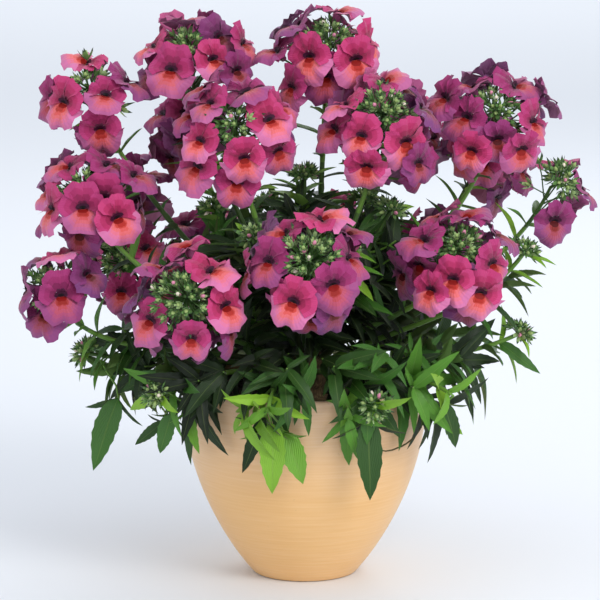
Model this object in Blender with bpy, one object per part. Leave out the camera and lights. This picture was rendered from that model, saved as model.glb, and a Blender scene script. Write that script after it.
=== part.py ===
"""A potted nemesia: a bushy patio plant in full flower, in an egg-shaped glazed earthenware pot.

The pot stands on its flat underside at the origin, +Z is up and the front of the plant faces -Y.
A short woody crown stands on the potting soil. Slender stems fan out from it, each to one head of
two-lipped flowers, and leafy shoots fan out between them and hang over the rim.
Each flower head and each shoot is one closed body that keeps to a space of its own, so no two touch.
All sizes are in metres.
"""

import itertools
import math

import bmesh
import bpy
import numpy as np
from mathutils.bvhtree import BVHTree

# Gap that neighbouring bodies keep, and the wider one kept round a limb or a wall
GAP = 0.0003
CLEARANCE = 0.0006

# Corners of one body that lie closer than this would count as one point
SLIVER = 0.0000002

# Faces that meet at a wider angle than this show an edge
SHARP_ANGLE = math.radians(35)

# Pot: the outer wall runs from the foot to the rim along one curve, bulging between them
POT_HEIGHT = 0.120
POT_FOOT_RADIUS = 0.032
POT_RIM_RADIUS = 0.0750
POT_BELLY = ((0.0500, 0.0200), (0.0775, 0.0660))
POT_WALL = 0.0045
POT_FLOOR = 0.0070
POT_ROWS = 6
POT_SIDES = 28

# Soil and the woody crown that stands on it
SOIL_LEVEL = 0.108
CROWN_FOOT_RADIUS = 0.0175
CROWN_WAIST_RADIUS = 0.0120
CROWN_WAIST_HEIGHT = 0.0060
KNOB_RADIUS = 0.0150
KNOB_HEIGHT = 0.0155
CROWN_LEAN = 0.06
CROWN_SIDES = 12
KNOB_ROWS = 7

# Flowering stems: radius where they leave the crown and where the head begins
STEM_FOOT_RADIUS = 0.0020
STEM_TIP_RADIUS = 0.0014
STEM_SIDES = 5
STEM_STATIONS = 6

# Limbs leave the knob this far apart and no lower than this, pushed apart a little in each round
ROOT_SPREAD = math.radians(21)
ROOT_LOWEST = math.radians(10)
ROOT_ROUNDS = 400
ROOT_STEP = 0.6

# A limb's curve: how far its handles reach, its points, and how far it may bow sideways
HANDLE_SHARE = 0.34
PATH_POINTS = 25
ROUTE_POINTS = 90
BOWS = tuple(0.004 * step for step in (0, 1, -1, 2, -2, 3, -3, 4, -4, 5, -5, 6, -6, 7, -7, 8, -8, 9, -9))

# A flower head: its space, where its neck starts, and how its flowers stand round it
HEAD_REACH = 0.054
HEAD_WEIGHT = 0.052
HEAD_NECK = 0.030
HEAD_UPRIGHT = 1.1
HEAD_SEED = 100
SPINE_TIP_RADIUS = 0.0010
SPINE_SIDES = 3
FLOWER_RADIUS = 0.0138
FLOWER_DISTANCE = 0.0305
FLOWER_TILTS = (math.radians(54), math.radians(92))
FLOWER_PULLS = (1.0, 1.12, 0.9, 1.2, 0.8)
FLOWER_DEPTH = 0.0065
FLOWER_DISH = 0.0030
PEDICEL_RADIUS = 0.0007
PEDICEL_FOOT_RADIUS = 0.0008
STALKS_BELOW = 0.008
STALKS_SPAN = 0.019
BUD_KNOT_RADIUS = 0.0105
BUD_KNOT_RISE = 0.0120
BUD_SPIKES = (0.72, 1.12)

# How unevenly flowers turn, tilt and grow, and how far they look towards the head's axis and the light
FLOWER_TURN_WANDER = math.radians(9)
FLOWER_TILT_WANDER = math.radians(7)
FLOWER_SIZES = (0.92, 1.08)
AXIS_PULL = 0.25
LIGHT_PULL = 0.10
UPRIGHT_PULL = 0.35

# Outline of a flower: angle from straight up and share of the radius, for one half
FLOWER_OUTLINE = ((0, 0.86), (40, 1.06), (88, 0.96), (138, 1.18), (180, 1.02))

# Leafy shoots
LEAF_WIDTH = 0.33
LEAF_STALK = 0.0040
LEAF_SUNK = 0.0006
LEAF_THICKNESS = 0.018
LEAF_BROADEST = 0.44
LEAF_ARCH = 0.05
LEAF_TIP_DROP = 0.06
LEAF_EDGE_LIFT = 0.012
LEAF_FORWARD = 0.5
LEAF_TO_LIGHT = 0.3
SHOOT_FOOT_RADIUS = 0.0019
SHOOT_TIP_RADIUS = 0.0010
TIP_ROOM = 0.004
TWIG_SIDES = 3
TWIG_RADIUS = 0.0009
TWIG_LENGTH = 0.034
TWIG_LENGTHS = (0.8, 1.1)
TWIG_ELBOW = 0.6
TWIG_TAPER = (1.2, 1.0, 0.8)
TWIG_PAIRS = (0.50, 0.94)
SHOOT_SIDES = 4
SHOOT_SEED = 500
SHOOT_NODES = 7
FIRST_NODE = 0.15
LAST_NODE = 0.97
NODE_WANDER = math.radians(12)
LEAF_LENGTHS = (0.86, 1.06)
TWIG_LEAF_LENGTHS = (0.64, 0.86)

# Leaves shorten over the last part of a shoot
TAPER_SHARE = 0.7
TAPER_LOSS = 0.35
TWIGGED_NODES = (1, 3)
SECOND_TRIES = (0, 25, -25, 50, -50, 75)
LENGTH_TRIES = (1.0, 0.62)

# Leaves stand up near the crown and droop by their full share from here on
LEVEL_SHARE = 0.34
DROOP_SPAN = 0.30

# Flower heads: name, middle, way it faces (turn from the front, rise) in degrees, number of flowers
HEADS = (
    ("left_top", (-0.128, 0.010, 0.294), (-25, 30), 4),
    ("left_middle", (-0.128, -0.020, 0.234), (-25, 45), 8),
    ("left_low", (-0.148, -0.032, 0.176), (-35, 35), 6),
    ("top_left", (-0.070, 0.025, 0.313), (-12, 52), 9),
    ("upper_left", (-0.041, -0.032, 0.278), (0, 24), 9),
    ("top", (0.014, 0.022, 0.318), (10, 50), 9),
    ("upper_middle", (0.046, -0.022, 0.282), (5, 40), 8),
    ("upper_right", (0.115, 0.002, 0.280), (10, 42), 8),
    ("right_tip", (0.150, 0.012, 0.236), (50, 32), 4),
    ("right_front", (0.089, -0.045, 0.203), (10, 42), 8),
    ("front", (0.002, -0.084, 0.203), (0, 34), 9),
    ("front_left", (-0.068, -0.080, 0.183), (-8, 14), 8),
    ("left_inner", (-0.108, 0.026, 0.186), (-30, 20), 4),
    ("back_top_left", (-0.072, 0.078, 0.268), (-140, 45), 7),
    ("back_top_right", (0.056, 0.082, 0.268), (150, 45), 7),
    ("back_right", (0.112, 0.070, 0.252), (120, 40), 7),
    ("back_left", (-0.118, 0.072, 0.222), (-110, 40), 7),
    ("back_low_left", (-0.066, 0.112, 0.180), (-150, 30), 7),
    ("back_low", (0.018, 0.118, 0.190), (172, 32), 7),
    ("back_low_right", (0.090, 0.100, 0.182), (135, 32), 7),
)

# Leafy shoots over the rim: turn from the front in degrees, (radius, height) of the middle and of the
# tip, and the rise of the tip. Those in front bend down over the rim.
SKIRT_SHOOTS = (
    (-13, (0.091, 0.113), (0.095, 0.120), -0.9),
    (24, (0.091, 0.113), (0.097, 0.121), -0.8),
    (52, (0.096, 0.118), (0.108, 0.124), -0.4),
    (88, (0.103, 0.130), (0.130, 0.148), 0.5),
    (141, (0.098, 0.124), (0.122, 0.144), 0.4),
    (208, (0.098, 0.124), (0.124, 0.146), 0.4),
    (-86, (0.104, 0.124), (0.132, 0.137), 0.2),
    (-50, (0.096, 0.118), (0.111, 0.124), -0.3),
)
SKIRT_FORM = {"reach": 0.074, "weight": 0.050, "leaf_length": 0.050, "droop": 0.45}

# Rings of shoots between the stems: name, number, turn of the first, (radius, height) of the middle and
# of the tip, rise of the tip, and their form, where weight is for the sharing out of the crown
SHOOT_RINGS = (
    ("inner", 6, 26, (0.048, 0.178), (0.056, 0.222), 1.8,
     {"reach": 0.070, "weight": 0.044, "leaf_length": 0.047, "droop": 0.10}),
    ("heart", 1, 180, (0.004, 0.215), (0.006, 0.245), 4.0,
     {"reach": 0.060, "weight": 0.036, "leaf_length": 0.042, "droop": 0.0}),
    ("side", 1, 84, (0.116, 0.176), (0.132, 0.206), 1.5,
     {"reach": 0.060, "weight": 0.042, "leaf_length": 0.044, "droop": 0.15}),
)
RING_SEED = 7
RING_WANDER = 5
TIP_WANDER = 0.006

# Tips of the long leaves that hang over the front of the rim
HANGING_TIPS = (
    (-0.130, -0.022, 0.067), (-0.102, -0.040, 0.088), (-0.086, -0.054, 0.089), (-0.063, -0.072, 0.096),
    (-0.038, -0.082, 0.087), (-0.020, -0.090, 0.076), (-0.001, -0.090, 0.083), (0.037, -0.086, 0.070),
    (0.040, -0.088, 0.104), (0.088, -0.048, 0.090), (0.096, -0.036, 0.094), (0.144, -0.010, 0.126),
)
HANGING_FOOT = 0.083
HANGING_SHARES = np.linspace(0.4, 0.9, 26)

POT_GOLD = (0.80, 0.52, 0.22)
SOIL_BROWN = (0.05, 0.035, 0.025)
BARK_BROWN = (0.20, 0.15, 0.09)
STEM_GREEN = (0.16, 0.28, 0.06)
LEAF_GREEN = (0.05, 0.14, 0.04)
PETAL_PINK = (0.55, 0.06, 0.20)

FRONT = np.array((0.0, -1.0, 0.0))
UP = np.array((0.0, 0.0, 1.0))


def unit(vector):
    return vector / np.linalg.norm(vector)


def facing(turn, rise):
    """Unit vector that turns from the front towards the right and rises from level, in degrees."""
    turn, rise = math.radians(turn), math.radians(rise)
    return np.array((math.sin(turn) * math.cos(rise), -math.cos(turn) * math.cos(rise), math.sin(rise)))


def leaning(direction, axis):
    """Unit vector square to an axis that leans as far as it can towards a direction."""
    return unit(direction - np.dot(direction, axis) * axis)


def bezier(start, first, second, end, count):
    """Points along a cubic curve through its two ends, drawn towards its two handles."""
    t = np.linspace(0.0, 1.0, count)[:, None]
    points = [np.asarray(point, dtype=float) for point in (start, first, second, end)]
    return ((1 - t) ** 3 * points[0] + 3 * (1 - t) ** 2 * t * points[1]
            + 3 * (1 - t) * t ** 2 * points[2] + t ** 3 * points[3])


def along(path, share):
    """Point and direction at a share of a path's length."""
    steps = np.diff(path, axis=0)
    lengths = np.linalg.norm(steps, axis=1)
    reached = np.concatenate(((0.0,), np.cumsum(lengths)))
    wanted = share * reached[-1]
    piece = min(int(np.searchsorted(reached, wanted, side="right")) - 1, len(steps) - 1)
    rest = (wanted - reached[piece]) / lengths[piece]
    return path[piece] + rest * steps[piece], unit(steps[piece])


def stretch(path, first, last, count):
    """The part of a path between two shares of its length, as count points."""
    return np.array([along(path, share)[0] for share in np.linspace(first, last, count)])


def across(direction):
    """Two unit vectors square to a direction and to each other."""
    reference = UP if abs(direction[2]) < 0.9 else FRONT
    side = unit(np.cross(direction, reference))
    return side, np.cross(side, direction)


def tube(path, radii, sides):
    """Closed tube: a ring of points square to the path at each station, flat at both ends."""
    tangents = np.gradient(path, axis=0)
    tangents /= np.linalg.norm(tangents, axis=1)[:, None]
    reference = across(unit(path[-1] - path[0]))[0]
    side = reference - np.sum(tangents * reference, axis=1)[:, None] * tangents
    side /= np.linalg.norm(side, axis=1)[:, None]
    other = np.cross(tangents, side)
    turn = np.linspace(0, 2 * math.pi, sides, endpoint=False)
    ring = np.cos(turn)[None, :, None] * side[:, None] + np.sin(turn)[None, :, None] * other[:, None]
    points = path[:, None] + np.asarray(radii)[:, None, None] * ring
    faces = [tuple(reversed(range(sides)))]
    for station in range(len(path) - 1):
        low = station * sides
        for k in range(sides):
            after = (k + 1) % sides
            faces.append((low + k, low + after, low + sides + after, low + sides + k))
    top = (len(path) - 1) * sides
    faces.append(tuple(range(top, top + sides)))
    return points.reshape(-1, 3), faces


def leaf(foot, direction, face, length):
    """Lance-shaped leaf of eight faces: foot, tip, both edges and a rib above and below."""
    side = unit(np.cross(direction, face))
    middle = foot + direction * length * LEAF_BROADEST + face * length * LEAF_ARCH
    half_width = side * length * LEAF_WIDTH / 2
    half_thick = face * length * LEAF_THICKNESS / 2
    tip = foot + direction * length - face * length * LEAF_TIP_DROP
    edge = face * length * LEAF_EDGE_LIFT
    points = np.array((foot, tip, middle + half_width + edge, middle - half_width + edge,
                       middle + half_thick, middle - half_thick))
    faces = [(0, 2, 4), (2, 1, 4), (1, 3, 4), (3, 0, 4), (2, 0, 5), (1, 2, 5), (3, 1, 5), (0, 3, 5)]
    return points, faces


def flower(foot, throat, face, upright, radius):
    """Two-lipped flower on its stalk, as one skin: a three-sided stalk that opens into a lobed rim,
    dished in front."""
    upright = leaning(upright, face)
    side = np.cross(upright, face)
    half = [(math.radians(angle), share) for angle, share in FLOWER_OUTLINE]
    outline = half + [(-angle, share) for angle, share in reversed(half[1:-1])]
    middle = throat + face * FLOWER_DISH
    rim = [middle + radius * share * (math.cos(angle) * upright + math.sin(angle) * side)
           for angle, share in outline]
    neck = throat - face * FLOWER_DEPTH
    corners = [0, 3, 5]
    stalk = [neck + PEDICEL_RADIUS * unit(rim[k] - throat) for k in corners]
    ahead = unit(throat - foot)
    low = [foot + PEDICEL_FOOT_RADIUS * leaning(point - neck, ahead) for point in stalk]
    points = np.array(rim + [throat] + stalk + low)
    count = len(outline)
    ring, base = count + 1, count + 4
    faces = [((k + 1) % count, k, count) for k in range(count)]
    for k, (corner, after) in enumerate(zip(corners, corners[1:] + [count])):
        half_way = (corner + after) // 2
        following = (k + 1) % 3
        faces += [(m, m + 1, ring + k) for m in range(corner, half_way)]
        faces.append((half_way, ring + following, ring + k))
        faces += [(m, (m + 1) % count, ring + following) for m in range(half_way, after)]
        faces.append((ring + k, ring + following, base + k))
        faces.append((ring + following, base + following, base + k))
    faces.append((base, base + 1, base + 2))
    return points, faces


def bud_knot(middle, direction, spikes):
    """Knot of green buds: twelve spikes of uneven reach, spaced like the corners of an icosahedron."""
    shape = bmesh.new()
    bmesh.ops.create_icosphere(shape, subdivisions=1, radius=1.0)
    side, other = across(direction)
    corners = np.array([vert.co[:] for vert in shape.verts])
    faces = [tuple(vert.index for vert in face.verts) for face in shape.faces]
    shape.free()
    turned = corners @ np.array((side, other, direction))
    return middle + turned * BUD_KNOT_RADIUS * spikes[:, None], faces


def lathe(outline, sides, lean=0.0, lean_height=0.0):
    """Closed turned body from an outline of (radius, height) points that starts and ends on the axis.
    It may lean to the right up to a height over its foot, and stands straight from there."""
    shape = bmesh.new()
    points = [shape.verts.new((radius, 0.0, height)) for radius, height in outline]
    edges = [shape.edges.new(pair) for pair in zip(points[:-1], points[1:])]
    bmesh.ops.spin(shape, geom=points + edges, cent=(0, 0, 0), axis=(0, 0, 1), angle=2 * math.pi,
                   steps=sides, use_merge=True)
    bmesh.ops.remove_doubles(shape, verts=shape.verts, dist=1e-6)
    base = min(height for _, height in outline)
    for vert in shape.verts:
        vert.co.x += lean * min(vert.co.z - base, lean_height)
    bmesh.ops.recalc_face_normals(shape, faces=shape.faces)
    return shape


def pot_outline(clearance=0.0):
    """Half section of the pot, from the middle of the foot, round the rim, to the middle of the floor."""
    wall = bezier((POT_FOOT_RADIUS, 0.0), *POT_BELLY, (POT_RIM_RADIUS, POT_HEIGHT), POT_ROWS + 1)
    slope = np.gradient(wall, axis=0)
    slope /= np.linalg.norm(slope, axis=1)[:, None]
    outward = np.column_stack((slope[:, 1], -slope[:, 0]))
    outer = wall + outward * clearance
    inner = wall - outward * (POT_WALL + clearance)
    lip = POT_WALL * 0.22
    floor = POT_FLOOR + clearance
    outline = [(0.0, -clearance)] + [tuple(point) for point in outer[:-1]]
    outline.append((POT_RIM_RADIUS + clearance, POT_HEIGHT - lip))
    outline.append((POT_RIM_RADIUS - lip + clearance, POT_HEIGHT + clearance))
    outline.append((POT_RIM_RADIUS - POT_WALL + lip - clearance, POT_HEIGHT + clearance))
    outline.append((POT_RIM_RADIUS - POT_WALL - clearance, POT_HEIGHT - lip))
    hollow = [tuple(point) for point in inner[:-1][::-1] if point[1] > floor + POT_WALL / 2]
    last = hollow[-1]
    outline += hollow + [(last[0] - (last[1] - floor) * 1.3, floor), (0.0, floor)]
    outline[1] = (outline[1][0], -clearance)
    return outline


def soil_outline(level=SOIL_LEVEL):
    """Half section of the soil: it fills the hollow of the pot up to a level."""
    hollow = pot_outline(GAP * 1.3)
    hollow = hollow[len(hollow) // 2:]
    side = [point for point in hollow if point[1] < SOIL_LEVEL - POT_WALL]
    above = [point for point in hollow if point[1] > SOIL_LEVEL][-1]
    share = (level - side[0][1]) / (above[1] - side[0][1])
    brim = (side[0][0] + share * (above[0] - side[0][0]), level)
    return [(0.0, level), brim] + side[:-2:2] + side[-2:]


def crown_outline():
    """Half section of the woody crown: a flared foot, a waist and a round knob."""
    foot = SOIL_LEVEL + GAP
    waist = math.asin((KNOB_HEIGHT - CROWN_WAIST_HEIGHT) / KNOB_RADIUS)
    flare = [(CROWN_FOOT_RADIUS, foot)]
    flare.append(((CROWN_FOOT_RADIUS + CROWN_WAIST_RADIUS * 2) / 3, foot + CROWN_WAIST_HEIGHT * 0.4))
    rises = np.linspace(-waist, math.pi / 2, KNOB_ROWS)
    middle = foot + KNOB_HEIGHT
    knob = [(KNOB_RADIUS * math.cos(rise), middle + KNOB_RADIUS * math.sin(rise)) for rise in rises]
    knob[-1] = (0.0, knob[-1][1])
    return [(0.0, foot)] + flare + knob


KNOB = np.array((CROWN_LEAN * KNOB_HEIGHT, 0.0, SOIL_LEVEL + GAP + KNOB_HEIGHT))


class Mass:
    """A flower head or a leafy shoot: its space, and the limb that leads from the crown to its tip."""

    def __init__(self, name, kind, middle, reach, weight, tip, arrival):
        self.name = name
        self.kind = kind
        self.middle = np.array(middle)
        self.reach = reach
        self.weight = weight
        self.tip = np.array(tip)
        self.arrival = unit(arrival)
        self.path = None

    def limb(self, root, bow):
        """Curve from the crown's knob to the tip, bowed sideways by a distance."""
        start = KNOB + root * (KNOB_RADIUS + GAP)
        span = np.linalg.norm(self.tip - start)
        sideways = unit(np.cross(self.tip - start, UP)) * bow
        first = start + root * span * HANDLE_SHARE + sideways
        second = self.tip - self.arrival * span * HANDLE_SHARE + sideways
        return bezier(start, first, second, self.tip, PATH_POINTS)


def leafy_shoot(name, turn, middle, tip, rise, form):
    """A shoot that leans to one side, from the (radius, height) of its middle and of its tip."""
    outward = facing(turn, 0)
    middle = outward * middle[0] + UP * middle[1]
    tip = outward * tip[0] + UP * tip[1]
    shoot = Mass(name, "foliage", middle, form["reach"], form["weight"], tip, outward + rise * UP)
    shoot.leaf_length = form["leaf_length"]
    shoot.droop = form["droop"]
    return shoot


def all_masses():
    """Every flower head, with its middle as its tip, and every leafy shoot."""
    masses = []
    for name, middle, (turn, rise), flowers in HEADS:
        axis = facing(turn, rise)
        head = Mass(name, "bloom", middle, HEAD_REACH, HEAD_WEIGHT, middle, axis + HEAD_UPRIGHT * UP)
        head.axis = axis
        head.flowers = flowers
        masses.append(head)
    for k, (turn, middle, tip, rise) in enumerate(SKIRT_SHOOTS):
        masses.append(leafy_shoot(f"skirt_{k + 1}", turn, middle, tip, rise, SKIRT_FORM))
    rng = np.random.default_rng(RING_SEED)
    for name, number, first, middle, tip, rise, form in SHOOT_RINGS:
        for k in range(number):
            turn = first + 360 * k / number + RING_WANDER * rng.uniform(-1, 1)
            spot = np.array(tip) + TIP_WANDER * rng.uniform(-1, 1, 2)
            masses.append(leafy_shoot(f"{name}_{k + 1}", turn, middle, spot, rise, form))
    return masses


def spread_roots(masses):
    """Unit vectors from the knob towards each tip, pushed apart until the limbs have room side by side."""
    roots = np.array([unit(mass.tip - KNOB) for mass in masses])
    for _ in range(ROOT_ROUNDS):
        cosines = np.clip(roots @ roots.T, -1, 1)
        np.fill_diagonal(cosines, -1)
        angles = np.arccos(cosines)
        lack = np.clip(ROOT_SPREAD - angles, 0, None)
        push = np.sum(lack[:, :, None] * (roots[:, None] - roots[None]), axis=1)
        roots = roots + ROOT_STEP * push
        roots[:, 2] = np.maximum(roots[:, 2], math.sin(ROOT_LOWEST))
        roots /= np.linalg.norm(roots, axis=1)[:, None]
    return roots


def least_distance(one, other):
    return np.linalg.norm(one[:, None] - other[None], axis=2).min()


def route_limbs(masses, walls):
    """Give each mass its limb, with the least bow that clears the pot, the soil and the limbs before it."""
    apart = 2 * STEM_FOOT_RADIUS + CLEARANCE
    routed = []
    for mass, root in zip(masses, spread_roots(masses)):
        best = None
        for bow in BOWS:
            path = mass.limb(root, bow)
            dense = stretch(path, 0, 1, ROUTE_POINTS)
            room = min([least_distance(dense, other) for other in routed], default=1.0)
            skin = tube(path, np.full(len(path), SHOOT_FOOT_RADIUS + CLEARANCE), STEM_SIDES)
            skin = BVHTree.FromPolygons(*as_lists(skin))
            blocked = any(skin.overlap(wall) for wall in walls)
            if not blocked and (best is None or room > best[0]):
                best = (room, path, dense)
            if not blocked and room > apart:
                break
        mass.path = best[1]
        mass.length = np.linalg.norm(np.diff(mass.path, axis=0), axis=1).sum()
        routed.append(best[2])


def as_lists(shape):
    points, faces = shape
    return [tuple(point) for point in points], faces


class Spaces:
    """What each mass may fill: its own share of the crown, clear of walls and of every limb but its own."""

    def __init__(self, masses, walls):
        self.middles = np.array([mass.middle for mass in masses])
        self.reaches = np.array([mass.reach for mass in masses])
        self.weights = np.array([mass.weight for mass in masses])
        self.walls = walls
        self.limbs = []
        for mass in masses:
            radii = np.linspace(STEM_FOOT_RADIUS, STEM_TIP_RADIUS, STEM_STATIONS + 2) + CLEARANCE
            skin = tube(stretch(mass.path, 0, 1, len(radii)), radii, STEM_SIDES + 1)
            self.limbs.append(BVHTree.FromPolygons(*as_lists(skin)))

    def room(self, index, points):
        """Least distance of the points from the edge of a mass's space: the planes that share out the
        crown between the middles, each by its weight, and the ball of its own reach."""
        powers = np.sum((points[:, None] - self.middles[None]) ** 2, axis=2) - self.weights ** 2
        spans = np.linalg.norm(self.middles - self.middles[index], axis=1)
        spans[index] = 1.0
        planes = (powers - powers[:, index:index + 1]) / (2 * spans)
        planes[:, index] = 1.0
        ball = self.reaches[index] - np.linalg.norm(points - self.middles[index], axis=1)
        return min(planes.min(), ball.min())

    def allows(self, index, shape):
        """True if a piece lies in the mass's space and touches neither a wall nor another limb."""
        if self.room(index, shape[0]) < CLEARANCE:
            return False
        skin = BVHTree.FromPolygons(*as_lists(shape))
        if any(skin.overlap(wall) for wall in self.walls):
            return False
        return not any(skin.overlap(limb) for k, limb in enumerate(self.limbs) if k != index)


def trim_tips(masses, spaces):
    """Shorten each leafy shoot until its tip lies in its own space."""
    for index, mass in enumerate(masses):
        share = 1.0
        while mass.kind == "foliage" and spaces.room(index, along(mass.path, share)[0][None]) < TIP_ROOM:
            share -= 0.02
        mass.path = stretch(mass.path, 0, share, len(mass.path))
        mass.length *= share


def crossings(shape, pieces):
    """How many of the pieces a shape runs through."""
    skin = BVHTree.FromPolygons(*as_lists(shape))
    return sum(bool(skin.overlap(BVHTree.FromPolygons(*as_lists(piece)))) for piece in pieces)


def grow_bloom(index, head, spaces):
    """Pieces of a flower head: flowers on slim stalks all round it, and buds at its top."""
    rng = np.random.default_rng(HEAD_SEED + index)
    pieces = [bud_knot(head.middle + head.axis * BUD_KNOT_RISE, head.axis, rng.uniform(*BUD_SPIKES, 12))]
    side, other = across(head.axis)
    start = rng.uniform(0, 2 * math.pi)
    for k in range(head.flowers):
        turn = start + 2 * math.pi * k / head.flowers + FLOWER_TURN_WANDER * rng.uniform(-1, 1)
        tilt = FLOWER_TILTS[k % 2] + FLOWER_TILT_WANDER * rng.uniform(-1, 1)
        size = FLOWER_RADIUS * rng.uniform(*FLOWER_SIZES)
        outward = (math.cos(tilt) * head.axis
                   + math.sin(tilt) * (math.cos(turn) * side + math.sin(turn) * other))
        look = unit(outward + AXIS_PULL * head.axis + LIGHT_PULL * FRONT)
        upright = unit(UP + UPRIGHT_PULL * head.axis)
        foot, _ = along(head.path, 1 - (STALKS_BELOW + STALKS_SPAN * k / head.flowers) / head.length)
        found = []
        for pull in FLOWER_PULLS:
            throat = head.middle + outward * FLOWER_DISTANCE * pull
            shape = flower(foot, throat, look, upright, size)
            if spaces.allows(index, shape):
                found.append((crossings(shape, pieces), len(found), shape))
        if found:
            pieces.append(min(found, key=lambda one: one[:2])[2])
    return pieces


def add_leaf(index, pieces, spaces, place, direction, side, length, droop):
    """Add one leaf that leaves a stem sideways. It is turned round the stem a little at a time until it
    fits, and is a short one where no long one does."""
    other = np.cross(direction, side)
    for part, turn in itertools.product(LENGTH_TRIES, SECOND_TRIES):
        swing = math.radians(turn)
        outward = math.cos(swing) * side + math.sin(swing) * other
        reach = unit(outward + LEAF_FORWARD * direction - droop * UP)
        face = leaning(direction + LEAF_TO_LIGHT * UP, reach)
        shape = leaf(place - reach * LEAF_SUNK, reach, face, length * part)
        blade = leaf(place + reach * LEAF_STALK, reach, face, length * part - LEAF_STALK)
        if spaces.allows(index, shape) and not crossings(blade, pieces):
            pieces.append(shape)
            return


def add_pair(index, pieces, spaces, place, direction, side, length, droop):
    """Add the two leaves of a pair, one on each side of a stem or twig."""
    add_leaf(index, pieces, spaces, place, direction, side, length, droop)
    add_leaf(index, pieces, spaces, place, direction, -side, length, droop)


def add_twig(index, pieces, spaces, place, direction, outward, leaf_length, droop, rng):
    """Add one side twig that bends forward and up at its elbow, with two pairs of leaves."""
    heading = unit(outward + 0.6 * direction + 0.15 * UP)
    bend = unit(heading + 0.5 * direction + 0.3 * UP)
    reach = TWIG_LENGTH * rng.uniform(*TWIG_LENGTHS)
    elbow = place + heading * reach * TWIG_ELBOW
    route = np.array((place, elbow, elbow + bend * reach * (1 - TWIG_ELBOW)))
    radii = TWIG_RADIUS * np.array(TWIG_TAPER)
    twig = tube(route, radii, TWIG_SIDES)
    swings = rng.uniform(0, math.pi, 2)
    lengths = leaf_length * rng.uniform(*TWIG_LEAF_LENGTHS, 2)
    if not spaces.allows(index, twig) or crossings(tube(route[1:], radii[1:], TWIG_SIDES), pieces):
        return
    pieces.append(twig)
    for share, swing, length in zip(TWIG_PAIRS, swings, lengths):
        spot, ahead = along(route, share)
        first, second = across(ahead)
        side = math.cos(swing) * first + math.sin(swing) * second
        add_pair(index, pieces, spaces, spot, ahead, side, length, droop)


def hang_leaves(index, shoot, spaces, masses):
    """Long leaves that hang over the rim from this shoot, for those tips that lie nearest to it."""
    pieces = []
    for tip in HANGING_TIPS:
        tip = np.array(tip)
        nearest = min(masses, key=lambda mass: np.linalg.norm(mass.middle - tip) - mass.weight)
        if nearest is not shoot:
            continue
        places = [along(shoot.path, share)[0] for share in HANGING_SHARES]
        foot = min(places, key=lambda place: abs(np.hypot(place[0], place[1]) - HANGING_FOOT))
        reach = unit(tip - foot)
        outward = unit(np.array((tip[0], tip[1], 0.0)))
        face = leaning(outward + LEAF_TO_LIGHT * UP, reach)
        shape = leaf(foot - reach * LEAF_SUNK, reach, face, np.linalg.norm(tip - foot))
        if spaces.allows(index, shape):
            pieces.append(shape)
    return pieces


def grow_foliage(index, shoot, core, spaces, masses):
    """Pieces of a leafy shoot: pairs of leaves up the stem, each at right angles to the last, and
    side twigs from the axils with leaf pairs of their own."""
    rng = np.random.default_rng(SHOOT_SEED + index)
    pieces = [core] + hang_leaves(index, shoot, spaces, masses)
    start = rng.uniform(0, math.pi / 2)
    for node, share in enumerate(np.linspace(FIRST_NODE, LAST_NODE, SHOOT_NODES)):
        place, direction = along(shoot.path, share)
        one, two = across(direction)
        turn = start + math.pi / 2 * node + NODE_WANDER * rng.uniform(-1, 1)
        side = math.cos(turn) * one + math.sin(turn) * two
        taper = 1 - TAPER_LOSS * max(0, share - TAPER_SHARE) / (1 - TAPER_SHARE)
        length = shoot.leaf_length * rng.uniform(*LEAF_LENGTHS) * taper
        droop = shoot.droop * min(1.0, (share - LEVEL_SHARE) / DROOP_SPAN)
        add_pair(index, pieces, spaces, place, direction, side, length, droop)
        if node in TWIGGED_NODES:
            for sign in (1, -1):
                add_twig(index, pieces, spaces, place, direction, np.cross(direction, side) * sign,
                         shoot.leaf_length, droop, rng)
    return pieces[1:]


def finish(name, colour, roughness):
    material = bpy.data.materials.new(name)
    material.use_nodes = True
    shader = material.node_tree.nodes["Principled BSDF"]
    shader.inputs["Base Color"].default_value = (*colour, 1.0)
    shader.inputs["Roughness"].default_value = roughness
    return material


def add_object(name, mesh, material, collection=None):
    body = bpy.data.objects.new(name, mesh)
    if material is not None:
        mesh.materials.append(material)
        mesh.shade_smooth()
        mesh.set_sharp_from_angle(angle=SHARP_ANGLE)
    (collection or bpy.context.scene.collection).objects.link(body)
    return body


def mesh_from(name, shape):
    points, faces = as_lists(shape)
    mesh = bpy.data.meshes.new(name)
    mesh.from_pydata(points, [], faces)
    return mesh


def mesh_of(name, shape):
    mesh = bpy.data.meshes.new(name)
    shape.to_mesh(mesh)
    shape.free()
    return mesh


def keep_one_body(shape):
    """Drop loose scraps and fill sealed hollows: only the largest skin is kept. True if it is closed."""
    left = set(shape.faces)
    skins = []
    while left:
        front = [left.pop()]
        skin = set(front)
        while front:
            for edge in front.pop().edges:
                if len(edge.link_faces) != 2:
                    continue
                for neighbour in edge.link_faces:
                    if neighbour in left:
                        left.discard(neighbour)
                        skin.add(neighbour)
                        front.append(neighbour)
        skins.append(skin)
    largest = max(skins, key=lambda skin: sum(face.calc_area() for face in skin))
    scraps = [face for skin in skins if skin is not largest for face in skin]
    bmesh.ops.delete(shape, geom=scraps, context="FACES")
    bmesh.ops.delete(shape, geom=[vert for vert in shape.verts if not vert.link_faces], context="VERTS")
    bmesh.ops.triangulate(shape, faces=shape.faces)
    sewn = shape.copy()
    bmesh.ops.remove_doubles(sewn, verts=sewn.verts, dist=SLIVER)
    closed = all(edge.is_contiguous and len(edge.link_faces) == 2
                 for skin in (shape, sewn) for edge in skin.edges)
    sewn.free()
    return closed and shape.calc_volume(signed=True) > 0


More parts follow.
